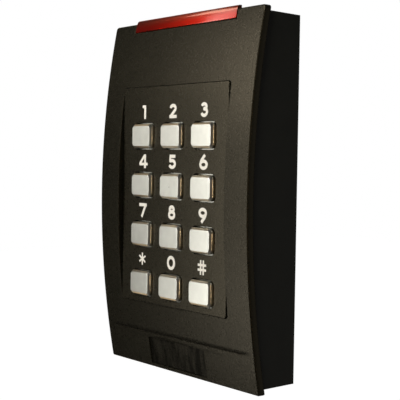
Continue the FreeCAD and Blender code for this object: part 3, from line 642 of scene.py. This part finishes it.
def laminate(name, mask_colour, trace_colour):
    """Printed board: solder mask over copper tracks, with rows of small tinned vias."""
    material, nodes, links, shader = new_material(name)
    coords = nodes.new("ShaderNodeTexCoord")
    split = nodes.new("ShaderNodeSeparateXYZ")
    flat = nodes.new("ShaderNodeCombineXYZ")
    links.new(coords.outputs["Object"], split.inputs["Vector"])
    links.new(split.outputs["X"], flat.inputs["X"])
    links.new(split.outputs["Z"], flat.inputs["Y"])
    tracks = nodes.new("ShaderNodeTexBrick")
    set_inputs(tracks, {"Scale": 100.0, "Mortar Size": 0.03, "Mortar Smooth": 0.1,
                        "Brick Width": 1.7, "Row Height": 0.16,
                        "Color1": (*mask_colour, 1), "Color2": (*scaled(mask_colour, 0.82), 1),
                        "Mortar": (*trace_colour, 1)})
    links.new(flat.outputs["Vector"], tracks.inputs["Vector"])
    vias = nodes.new("ShaderNodeTexVoronoi")
    set_inputs(vias, {"Scale": 330.0, "Randomness": 0.75})
    links.new(flat.outputs["Vector"], vias.inputs["Vector"])
    dots = nodes.new("ShaderNodeMapRange")
    set_inputs(dots, {"From Min": 0.10, "From Max": 0.13, "To Min": 1.0, "To Max": 0.0})
    links.new(vias.outputs["Distance"], dots.inputs["Value"])
    mix = nodes.new("ShaderNodeMix")
    mix.data_type = "RGBA"
    mix.inputs["B"].default_value = (*VIA_TIN, 1)
    links.new(dots.outputs["Result"], mix.inputs["Factor"])
    links.new(tracks.outputs["Color"], mix.inputs["A"])
    links.new(mix.outputs["Result"], shader.inputs["Base Color"])
    skin = object_noise(nodes, links, scale=1.5, detail=2.0)
    vary_roughness(nodes, links, shader, skin.outputs["Fac"], low=0.25, high=0.4)
    add_bump(nodes, links, shader, tracks, height=0.035)
    return material


def winding(name, colour):
    """Enamelled copper wire wound in flat turns, one behind the other along Y, with painted shade
    darkening the troughs between turns.
    """
    material, nodes, links, shader = new_material(name)
    shader.inputs["Metallic"].default_value = 1.0
    coords = nodes.new("ShaderNodeTexCoord")
    turns = nodes.new("ShaderNodeTexWave")
    turns.bands_direction = "Y"
    turns.wave_profile = "SIN"
    set_inputs(turns, {"Scale": 1400.0, "Distortion": 0.0})
    links.new(coords.outputs["Object"], turns.inputs["Vector"])
    # painted shade: the colour falls to about a third in the troughs between turns
    vary_colour(nodes, links, shader, turns, scaled(colour, 0.35), colour)
    skin = object_noise(nodes, links, scale=0.5, detail=2.0)
    vary_roughness(nodes, links, shader, skin.outputs["Fac"], low=0.25, high=0.35)
    add_bump(nodes, links, shader, turns, height=0.1)
    return material


def galvanised(name):
    """Zinc-plated sheet steel: broad grey crystals and fine rolling marks."""
    material, nodes, links, shader = new_material(name)
    shader.inputs["Metallic"].default_value = 1.0
    coords = nodes.new("ShaderNodeTexCoord")
    crystals = nodes.new("ShaderNodeTexVoronoi")
    crystals.inputs["Scale"].default_value = 260.0
    links.new(coords.outputs["Object"], crystals.inputs["Vector"])
    grey = nodes.new("ShaderNodeSeparateColor")
    links.new(crystals.outputs["Color"], grey.inputs["Color"])
    ramp = nodes.new("ShaderNodeValToRGB")
    ramp.color_ramp.elements[0].color = (*ZINC_DARK, 1)
    ramp.color_ramp.elements[1].color = (*ZINC_PALE, 1)
    links.new(grey.outputs["Red"], ramp.inputs["Fac"])
    links.new(ramp.outputs["Color"], shader.inputs["Base Color"])
    vary_roughness(nodes, links, shader, grey.outputs["Green"], low=0.40, high=0.47)
    marks = object_noise(nodes, links, scale=2.0, detail=2.0, stretch=(0.05, 1, 1))
    add_bump(nodes, links, shader, marks, height=0.01)
    return material


# ---- cover ----

def cover_outline(inset):
    """The cover seen from the front, with the light bar's notch in its top edge."""
    w = HALF_W - inset
    h = HALF_H - inset
    notch_x = BAR_HIGH.x + NOTCH_GAP + inset
    notch_z = BAR_BOTTOM_Z - NOTCH_GAP - inset
    upper = outline(0, 0, w, h, COVER_TOP_R - inset * CORNER_SHRINK)
    lower = outline(0, 0, w, h, COVER_BOTTOM_R - inset * CORNER_SHRINK)
    body = upper[:len(upper) // 2] + lower[len(lower) // 2:]
    corner = len(body) // 4
    top = [(notch_x, h), (notch_x, notch_z), (-notch_x, notch_z), (-notch_x, h)]
    return body[:corner] + top + body[corner:]


def window_outline(inset):
    return outline(0, 0, WINDOW_HW + inset, WINDOW_HH + inset, WINDOW_R + inset)


def build_cover(material):
    bm = bmesh.new()
    plate(bm, cover_outline, [window_outline], CREST_Y, BAND,
          COVER_FRONT_R, COVER_REAR_R, WINDOW_EDGE_R)
    sink(bm, GROOVE_HW, GROOVE_Z - GROOVE_W / 2, GROOVE_Z + GROOVE_W / 2,
         CREST_Y, GROOVE_DEPTH, GROOVE_CHAMFER)
    sink(bm, BADGE_HIGH.x + BADGE_GAP, BADGE_LOW.z - BADGE_GAP, BADGE_HIGH.z + BADGE_GAP,
         CREST_Y, BADGE_POCKET, BADGE_CHAMFER)
    bend_to_bow(bm)
    make_piece("cover_shell", bm, material, "reader", ["front_cover"])


def add_window_frame(bm):
    """The frame round the window: its front follows the bow and its back is flat."""
    front_y = CREST_Y + BAND
    plate(bm, rim(FRAME_HW, FRAME_HH, FRAME_R), [opening(WINDOW_HW, WINDOW_HH, WINDOW_R)],
          front_y, FRAME_Y - front_y, HIDDEN_R, HIDDEN_R)
    count = int(FRAME_HH // STRIP)
    for i in range(-count, count + 1):
        slice_z(bm, i * STRIP)
    for v in bm.verts:
        share = (FRAME_Y - v.co.y) / (FRAME_Y - front_y)
        v.co.y += share * (min(bow_y(v.co.z) + BAND, FRAME_Y - FRAME_MIN_T) - front_y)


def add_boss(bm, x, z):
    plate(bm, lambda inset: nearly_round(x, z, BOSS_R - inset),
          [lambda inset: nearly_round(x, z, BOSS_HOLE_R + inset)],
          BOSS_FRONT_Y, BOSS_BACK_Y - BOSS_FRONT_Y, HIDDEN_R, RIB_EDGE_R)


def build_cover_inside(material):
    """The window frame, the locating lip and the screw bosses behind the cover."""
    bm = bmesh.new()
    add_window_frame(bm)
    plate(bm, rim(LIP_HW, LIP_HH, LIP_R), [opening(LIP_HW - LIP_T, LIP_HH - LIP_T, LIP_R)],
          LIP_FRONT_Y, LIP_BACK_Y - LIP_FRONT_Y, HIDDEN_R, RIB_EDGE_R)
    for side_x in (-1, 1):
        for side_z in (-1, 1):
            add_boss(bm, BOSS_X * side_x, BOSS_Z * side_z)
    make_piece("cover_ribs", bm, material, "reader")


# ---- keypad ----

def key_frame(name):
    """Centre x and z of a key and the half sizes of its cap."""
    low, high = cad("key_" + name)
    x = (low.x + high.x) / 2
    z = (low.z + high.z) / 2
    half_w = (high.x - low.x) / 2 - KEY_FLANGE_X
    half_h = (high.z - low.z) / 2 - KEY_FLANGE_Z
    return x, z, half_w, half_h


def key_opening(name):
    """Outline function of a key's opening in the panel."""
    x, z, half_w, half_h = key_frame(name)
    return lambda inset: outline(x, z, half_w + KEY_GAP + inset, half_h + KEY_GAP + inset,
                                 KEY_R + KEY_GAP + inset)


def build_panel(material):
    """The face with the key openings, a wall round its back and a flange round the wall."""
    bm = bmesh.new()
    face = rim(PANEL_HW, PANEL_HH, PANEL_R)
    inside = opening(PANEL_HW - PANEL_WALL, PANEL_HH - PANEL_WALL, PANEL_IN_R)
    plate(bm, face, [key_opening(name) for name in KEY_NODES],
          PANEL_Y, PANEL_T, PANEL_EDGE_R, INNER_R, PANEL_HOLE_EDGE_R)
    wall_y = PANEL_Y + PANEL_T - PANEL_WALL_START
    plate(bm, face, [inside], wall_y, PANEL_HIGH.y - wall_y, HIDDEN_R, INNER_R)
    plate(bm, rim(PANEL_HIGH.x, PANEL_HIGH.z, FLANGE_R), [inside],
          PANEL_HIGH.y - FLANGE_T, FLANGE_T, FLANGE_EDGE_R, FLANGE_EDGE_R)
    make_piece("panel_face", bm, material, "reader", ["keypad_panel"])


def chamfer_profile(size, soft_r):
    """(inset, distance back from the front) pairs up a 45 degree chamfer with soft ends."""
    trim = soft_r * math.tan(math.radians(22.5))
    profile = []
    for i in range(ROUND_STEPS + 1):
        a = math.radians(45 * i / ROUND_STEPS)
        profile.append((soft_r * (1 - math.cos(a)), size + trim - soft_r * math.sin(a)))
    front = [(back, inset) for inset, back in reversed(profile)]
    return profile + front + [(size + trim + HOLD, 0.0)]


def build_key(name, material):
    x, z, half_w, half_h = key_frame(name)
    shoulder = KEY_BACK_Y - KEY_FLANGE_T
    flange_w = half_w + KEY_FLANGE_X
    flange_h = half_h + KEY_FLANGE_Z
    trim = KEY_TRIM
    rows = [(flange_w - trim, flange_h - trim, KEY_R, KEY_BACK_Y),
            (flange_w, flange_h, KEY_R, KEY_BACK_Y - trim),
            (flange_w, flange_h, KEY_R, shoulder + trim),
            (flange_w - trim, flange_h - trim, KEY_R, shoulder),
            (half_w + trim, half_h + trim, KEY_R + trim, shoulder),
            (half_w, half_h, KEY_R, shoulder - trim)]
    for inset, back in chamfer_profile(KEY_CHAMFER, KEY_SOFT_R):
        rows.append((half_w - inset, half_h - inset, KEY_R - inset * CORNER_SHRINK,
                     KEY_FRONT_Y + back))
    bm = bmesh.new()
    rings = [ring(bm, outline(x, z, w, h, r, KEY_CORNER_STEPS), y) for w, h, r, y in rows]
    join_all(bm, rings)
    bm.faces.new(rings[0])
    bm.faces.new(rings[-1])
    if name == PIP_KEY:
        add_pip(bm, x, z)
    make_piece("keycap_" + name, bm, material, "button_" + name, ["key_" + name])


def add_pip(bm, x, z):
    """The raised locating dot in the middle of a key."""
    made = bmesh.ops.create_uvsphere(bm, u_segments=20, v_segments=12, radius=PIP_R)
    bmesh.ops.translate(bm, verts=made["verts"], vec=(x, KEY_FRONT_Y + PIP_SUNK, z))


# ---- printed legends ----

def arc(cx, cy, rx, ry, start, end, steps=22):
    """Points of an elliptical arc, in degrees anticlockwise from the right."""
    points = []
    for i in range(steps + 1):
        a = math.radians(start + (end - start) * i / steps)
        points.append((cx + rx * math.cos(a), cy + ry * math.sin(a)))
    return points


def star_strokes():
    """Three bars that cross, 60 degrees apart."""
    strokes = []
    for angle in (30, 90, 150):
        dx = STAR_REACH * math.cos(math.radians(angle))
        dz = STAR_REACH * math.sin(math.radians(angle))
        strokes.append(([(-dx, -dz), (dx, dz)], STAR_STROKE))
    return strokes


def hash_strokes():
    """Two upright and two level bars."""
    upright = [([(x, -LEGEND_HH), (x, LEGEND_HH)], HASH_UPRIGHT)
               for x in (-HASH_UPRIGHT_X, HASH_UPRIGHT_X)]
    level = [([(-HASH_LEVEL_HW, z), (HASH_LEVEL_HW, z)], HASH_LEVEL)
             for z in (-HASH_LEVEL_Z, HASH_LEVEL_Z)]
    return upright + level


def glyphs():
    """Each legend as strokes: (centre line, width). Heights run to +-LEGEND_HH.

    The points are drawn in millimetres from the middle of the legend.
    """
    h = LEGEND_HH
    s = STROKE
    top = h - s / 2
    six = [(arc(0, -0.72, 1.68, top - 0.72, 0, 360, 44), s),
           ([(-1.6, -0.35), (-1.15, 0.62), (0.72, h)], s)]
    nine = [([(-x, -z) for x, z in path], w) for path, w in six]
    return {
        "1": [([(0.62, -h), (0.62, h)], s * 1.04), ([(-0.98, h - 0.48), (0.5, h - 0.48)], 0.96)],
        "2": [(arc(0, 0.88, 1.42, top - 0.88, 172, -38) + [(-1.45, -top)], s),
              ([(-2.05, -top), (2.1, -top)], s)],
        "3": [(arc(-0.05, 1.0, 1.2, top - 1.0, 165, -92), s),
              (arc(-0.05, -0.72, 1.48, top - 0.72, 92, -162), s),
              ([(-0.55, 0.25), (0.15, 0.25)], s * 0.8)],
        "4": [([(0.9, -h), (0.9, h)], s), ([(-2.6, -0.98), (2.55, -0.98)], s * 0.88),
              ([(-2.35, -1.0), (0.72, h - 0.28)], s * 0.85)],
        "5": [([(-1.05, top), (1.65, top)], s), ([(-1.12, h), (-1.32, -0.2)], s * 0.9),
              (arc(-0.15, -0.72, 1.6, top - 0.72, 128, -160), s)],
        "6": six,
        "7": [([(-2.3, top), (2.3, top)], s), ([(1.85, h - 0.2), (-0.75, -h)], s)],
        "8": [(arc(0, 1.08, 1.12, top - 1.08, 0, 360, 44), s),
              (arc(0, -0.84, 1.5, top - 0.84, 0, 360, 44), s)],
        "9": nine,
        "0": [(arc(0, 0, 1.78, top, 0, 360, 56), s)],
        "star": star_strokes(),
        "hash": hash_strokes(),
    }


def stroke_outline(path, width):
    """Left and right edges of a stroke; a path that ends where it starts is a ring."""
    closed = math.dist(path[0], path[-1]) < CLOSED_TOL
    core = path[:-1] if closed else path
    n = len(core)
    left = []
    right = []
    for i, (x, z) in enumerate(core):
        before = core[(i - 1) % n] if closed or i > 0 else core[i]
        after = core[(i + 1) % n] if closed or i < n - 1 else core[i]
        dx = after[0] - before[0]
        dz = after[1] - before[1]
        length = math.hypot(dx, dz)
        nx = -dz / length * width / 2
        nz = dx / length * width / 2
        left.append((x + nx, z + nz))
        right.append((x - nx, z - nz))
    return left, right, closed


def stroke_solid(path, width, x, z, y0, y1):
    left, right, closed = stroke_outline(path, width)
    bm = bmesh.new()
    rows = []
    for a, b in zip(left, right):
        rows.append([bm.verts.new((x + p[0], y, z + p[1])) for p, y in
                     ((a, y0), (b, y0), (b, y1), (a, y1))])
    n = len(rows)
    for i in range(n if closed else n - 1):
        p = rows[i]
        q = rows[(i + 1) % n]
        for k in range(4):
            m = (k + 1) % 4
            bm.faces.new((p[k], p[m], q[m], q[k]))
    if not closed:
        bm.faces.new(rows[0])
        bm.faces.new(rows[-1])
    bmesh.ops.recalc_face_normals(bm, faces=bm.faces[:])
    mesh = bpy.data.meshes.new("stroke")
    bm.to_mesh(mesh)
    bm.free()
    return mesh


def build_legend(name, strokes, material):
    """The strokes of one legend joined into a thin layer of ink on the panel."""
    x, z = key_frame(name)[:2]
    z += LEGEND_RISE
    helpers = []
    for path, width in strokes:
        mesh = stroke_solid(path, width, x, z, PANEL_Y - INK_T, PANEL_Y + INK_T)
        helpers.append(temporary("stroke", mesh))
    first = helpers[0]
    for other in helpers[1:]:
        union = first.modifiers.new("union", "BOOLEAN")
        union.operation = "UNION"
        union.solver = "EXACT"
        union.object = other
    merged = evaluated_copy(first)
    for helper in helpers:
        bpy.data.objects.remove(helper)
    bm = bmesh.new()
    bm.from_mesh(merged)
    make_piece("legend_" + name, bm, material, "reader", angle=NODE_ANGLE)


# ---- light bar ----

def bar_profile():
    """The bar from the side as (y, z) points: front, crown, rounded tip, back and leg."""
    crown_z = BAR_HIGH.z - BAR_CROWN_RISE
    points = []
    for i in range(BAR_FRONT_STEPS + 1):
        z = BAR_BOTTOM_Z + (crown_z - BAR_BOTTOM_Z) * i / BAR_FRONT_STEPS
        points.append((bow_y(z) - BAR_PROUD, z))
    for i in range(1, BAR_CROWN_STEPS):
        share = i / BAR_CROWN_STEPS
        z = crown_z + BAR_CROWN_RISE * share
        points.append((bow_y(z) - BAR_PROUD + BAR_CROWN_RECESS * share ** 2, z))
    tip_y = bow_y(BAR_HIGH.z) - BAR_PROUD + BAR_CROWN_RECESS
    for a in quarter_turn():
        points.append((tip_y + BAR_TIP_R * (1 - math.cos(a)),
                       BAR_HIGH.z - BAR_TIP_R * (1 - math.sin(a))))
    head_y = tip_y + BAR_HEAD_T
    back_y = bow_y(HALF_H) + BAND
    return points + [(head_y, BAR_HIGH.z), (head_y, BAR_SHOULDER_Z), (back_y, BAR_SHOULDER_Z),
                     (back_y, BAR_LEG_TOP_Z), (BAR_HIGH.y, BAR_LEG_TOP_Z),
                     (BAR_HIGH.y, BAR_LOW.z), (BAR_LEG_FRONT_Y, BAR_LOW.z),
                     (BAR_LEG_FRONT_Y, BAR_BOTTOM_Z)]


def build_light_bar(material):
    """A bar that follows the bow and leans back at the top, with a leg behind the cover."""
    bm = bmesh.new()
    profile = bar_profile()
    ends = [[bm.verts.new((x, y, z)) for y, z in profile] for x in (BAR_LOW.x, BAR_HIGH.x)]
    join_all(bm, ends)
    for end in ends:
        bm.faces.new(end)
    bmesh.ops.recalc_face_normals(bm, faces=bm.faces[:])
    round_edges(bm, BAR_EDGE_R, BAR_EDGE_SEGMENTS, BAR_SHARP)
    make_piece("light_bar_lens", bm, material, "reader", ["light_bar"])


def round_edges(bm, radius, segments, least_angle):
    """Rounds every edge whose faces turn by more than the angle, in radians."""
    sharp = [e for e in bm.edges if len(e.link_faces) == 2 and e.calc_face_angle(0) > least_angle]
    bmesh.ops.bevel(bm, geom=sharp, offset=radius, segments=segments, profile=0.5,
                    affect="EDGES", clamp_overlap=True)


# ---- nameplate ----

def build_nameplate(material):
    half_h = (BADGE_HIGH.z - BADGE_LOW.z) / 2
    z = (BADGE_HIGH.z + BADGE_LOW.z) / 2
    bm = bmesh.new()
    plate(bm, rim(BADGE_HIGH.x, half_h, BADGE_R, z), [],
          CREST_Y + BADGE_SUNK, BADGE_T, BADGE_EDGE_R, HIDDEN_R)
    bend_to_bow(bm)
    make_piece("nameplate_blank", bm, material, "reader", ["nameplate"])


# ---- keypad mat ----

def circle_outline(x, z, radius):
    points = []
    for i in range(DOME_SIDES):
        a = math.tau * i / DOME_SIDES
        points.append((x + radius * math.cos(a), z + radius * math.sin(a)))
    return points


def dome_opening(name):
    """Outline function of the hole under a key's dome."""
    x, z = key_frame(name)[:2]
    return lambda inset: circle_outline(x, z, DOME_HOLLOW_R + inset)


def build_mat(material):
    """A sheet with a hole under each dome, and twelve domes, one under each key."""
    sheet_y = MAT_HIGH.y - MAT_T
    bm = bmesh.new()
    plate(bm, rim(MAT_HIGH.x, MAT_HIGH.z, MAT_R), [dome_opening(name) for name in KEY_NODES],
          sheet_y, MAT_T, MAT_EDGE_R, INNER_R, HIDDEN_R)
    make_piece("mat_sheet", bm, material, "reader", ["keypad_mat"])
    for name in KEY_NODES:
        build_dome(name, material, MAT_LOW.y, sheet_y)


def build_dome(name, material, top_y, base_y):
    """One dome: an inner and an outer skin of (radius, distance below the top) rings."""
    x, z = key_frame(name)[:2]
    height = base_y - top_y
    inside = [(DOME_HOLLOW_R, height)]
    inside += [(DOME_TOP_R - inward * DOME_WALL, down * DOME_WALL) for inward, down in DOME_ROOF]
    inside += [(DOME_DIMPLE_R, DOME_ROOF_T * DOME_WALL)]
    outside = [(DOME_BASE_R, height), (DOME_BASE_R - DOME_FOOT_W, height - DOME_FOOT_T)]
    outside += [(DOME_TOP_R - inward, down) for inward, down in DOME_SHOULDER]
    outside += [(DOME_RIM_R, 0.0), (DOME_DIMPLE_R, DOME_DIMPLE)]
    bm = bmesh.new()
    bases = []
    for profile in (inside, outside):
        rings = [ring(bm, circle_outline(x, z, r), top_y + down) for r, down in profile]
        join_all(bm, rings)
        bm.faces.new(rings[-1])
        bases.append(rings[0])
    join_all(bm, bases)
    dome = make_piece("dome_" + name, bm, material, "reader")
    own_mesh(dome)


# ---- CAD nodes that keep their shape and get broken edges ----

def refine(node, material, bevel):
    """A copy of a CAD node, welded, with its flat faces joined and its edges rounded."""
    bm = bmesh.new()
    bm.from_mesh(frame["nodes"][node].data)
    bmesh.ops.scale(bm, vec=(1 / MM,) * 3, verts=bm.verts[:])
    bmesh.ops.remove_doubles(bm, verts=bm.verts[:], dist=NODE_WELD_TOL)
    bmesh.ops.dissolve_limit(bm, angle_limit=math.radians(FLAT_ANGLE), verts=bm.verts[:],
                             edges=bm.edges[:])
    round_edges(bm, bevel, NODE_EDGE_SEGMENTS, math.radians(NODE_ANGLE))
    make_piece(node + "_finished", bm, material, "reader", [node], NODE_ANGLE,
               flatten=True)


def inner_looks():
    """Material, slot name, edge bevel in millimetres and nodes of each kind of inner part."""
    zinc = metal("zinc_screw", ZINC_SCREW, roughness=0.36)
    white = plastic("milk_white", MILK_WHITE, roughness=0.45, grain=2.0, height=0.01)
    board = laminate("board_mask", BOARD_GREEN, TRACE_GREEN)
    gold = metal("gold_flash", GOLD, roughness=0.3, height=0.002)
    black = plastic("epoxy_black", PART_BLACK, roughness=0.5, grain=3.0, height=0.01)
    can = metal("can_skin", CAN_GREY, roughness=0.3, grain=2.0, height=0.003)
    lamp = plastic("lamp_resin", LAMP_WHITE, roughness=0.22, grain=2.0, height=0.003)
    green = plastic("terminal_resin", TERMINAL_GREEN, roughness=0.4, grain=1.6, height=0.01)
    return (
        (galvanised("zinc_sheet"), "plate_steel", 0.15, ("mounting_plate",)),
        (zinc, "screw_steel", 0.08,
         ("security_screw", "cover_screws", "keypad_board_screws", "main_board_screws",
          "terminal_screws")),
        (rubber("gasket_skin", PART_BLACK, roughness=0.7), "gasket_rubber", 0.12,
         ("cover_gasket",)),
        (white, "diffuser_white", 0.15, ("light_diffuser",)),
        (board, "board_laminate", 0.04, ("keypad_board", "main_board")),
        (gold, "contact_gold", 0.02, ("key_contacts",)),
        (winding("enamelled_wire", COPPER), "coil_copper", 0.1, ("antenna_coil",)),
        (black, "component_black", 0.1,
         ("buzzer", "controller_chip", "radio_chip", "voltage_regulator", "board_connector",
          "tamper_sensor")),
        (can, "can_aluminium", 0.12, ("capacitors", "crystal")),
        (lamp, "led_white", 0.08, ("status_leds",)),
        (green, "terminal_green", 0.12, ("terminal_block",)),
    )


def finish_inner_parts():
    for material, slot, bevel, nodes in inner_looks():
        for node in nodes:
            refine(node, material, bevel)


# ---- stage ----

def build_floor():
    """A floor that looks plain white to the camera and gives little light back."""
    bpy.ops.mesh.primitive_plane_add(size=FLOOR_SIZE * MM, location=(0, 0, FLOOR_Z * MM))
    floor = bpy.context.object
    floor.name = "floor"
    material, nodes, links, shader = new_material("floor_paint")
    set_inputs(shader, {"Base Color": (*FLOOR_COLOUR, 1), "Roughness": FLOOR_ROUGHNESS,
                        "Emission Color": (*WHITE, 1)})
    path = nodes.new("ShaderNodeLightPath")
    links.new(path.outputs["Is Camera Ray"], shader.inputs["Emission Strength"])
    floor.data.materials.append(material)


def build_world():
    """White behind the object, and a faint fill light everywhere else."""
    world = bpy.data.worlds.new("studio")
    bpy.context.scene.world = world
    world.use_nodes = True
    nodes = world.node_tree.nodes
    links = world.node_tree.links
    background = nodes["Background"]
    path = nodes.new("ShaderNodeLightPath")
    level = nodes.new("ShaderNodeMapRange")
    set_inputs(level, {"To Min": AMBIENT, "To Max": 1.0})
    links.new(path.outputs["Is Camera Ray"], level.inputs["Value"])
    links.new(level.outputs["Result"], background.inputs["Strength"])
    background.inputs["Color"].default_value = (*WHITE, 1)


# ---- lights and camera ----

def area_light(name, place, target, size, watts, colour):
    """A rectangular soft light; place, target and size in millimetres."""
    data = bpy.data.lights.new(name, "AREA")
    data.shape = "RECTANGLE"
    data.size = size[0] * MM
    data.size_y = size[1] * MM
    data.energy = watts
    data.color = colour
    light = bpy.data.objects.new(name, data)
    light.location = Vector(place) * MM
    aim = (Vector(target) - Vector(place)).to_track_quat("-Z", "Y")
    light.rotation_mode = "QUATERNION"
    light.rotation_quaternion = aim
    bpy.context.scene.collection.objects.link(light)
    return light


def only_for(light, prefixes):
    """Lets a light reach only the pieces whose names start with one of the prefixes."""
    receivers = bpy.data.collections.new(light.name + "_receivers")
    for piece in bpy.context.scene.collection.objects:
        if piece.name.startswith(prefixes):
            receivers.objects.link(piece)
    light.light_linking.receiver_collection = receivers


def build_lights():
    for name, place, target, size, watts, colour, prefixes in LIGHTS:
        light = area_light(name, place, target, size, watts, colour)
        if prefixes:
            only_for(light, prefixes)


def camera_axes():
    """Right, up and forward of the camera, from its yaw, pitch and roll."""
    yaw = math.radians(CAMERA_YAW)
    pitch = math.radians(CAMERA_PITCH)
    roll = math.radians(CAMERA_ROLL)
    forward = Vector((-math.sin(yaw) * math.cos(pitch), math.cos(yaw) * math.cos(pitch),
                      -math.sin(pitch)))
    right = Vector((math.cos(yaw), math.sin(yaw), 0))
    up = right.cross(forward)
    return (math.cos(roll) * right + math.sin(roll) * up,
            -math.sin(roll) * right + math.cos(roll) * up, forward)


def build_camera():
    right, up, forward = camera_axes()
    data = bpy.data.cameras.new("camera")
    data.lens = CAMERA_LENS
    data.sensor_width = CAMERA_SENSOR
    data.clip_start = CLIP_NEAR * MM
    data.clip_end = CLIP_FAR * MM
    camera = bpy.data.objects.new("camera", data)
    basis = Matrix((right, up, -forward)).transposed()
    camera.matrix_world = Matrix.Translation(Vector(CAMERA_PLACE) * MM) @ basis.to_4x4()
    bpy.context.scene.collection.objects.link(camera)
    bpy.context.scene.camera = camera


# ---- build ----

cover_material = plastic("cover_moulding", CHARCOAL, roughness=0.28, grain=1.3, height=0.045,
                         spec=0.27, tint=WARM_TINT)
panel_material = plastic("panel_moulding", CHARCOAL, roughness=0.28, grain=1.3, height=0.03,
                         spec=0.45, tint=WARM_TINT)
housing_material = plastic("housing_moulding", HOUSING_BLACK, roughness=0.5, grain=2.2,
                           height=0.03, spec=0.3)
badge_material = foil("nameplate_foil", FOIL_BLACK, roughness=0.28, tint=WARM_TINT)
ink_material = plastic("white_ink", INK_WHITE, roughness=0.5, grain=3.0, height=0.004,
                       spec=0.4, spread=0.03)
key_material = metal("satin_nickel", NICKEL, roughness=0.31, grain=4.0, height=0.003)
red_material = red_lens("red_lens", LENS_RED, LENS_PAINTED_SHEEN, roughness=0.36)
mat_material = rubber("silicone_skin", MAT_GREY, roughness=0.55)

build_camera()
build_floor()
build_world()
bpy.context.scene.view_settings.view_transform = "Standard"

build_cover(cover_material)
build_cover_inside(cover_material)
build_panel(panel_material)
for key_name in KEY_NODES:
    build_key(key_name, key_material)
for key_name, key_strokes in glyphs().items():
    build_legend(key_name, key_strokes, ink_material)
build_light_bar(red_material)
build_nameplate(badge_material)
refine("rear_housing", housing_material, HOUSING_EDGE_R)
build_mat(mat_material)
finish_inner_parts()

build_lights()
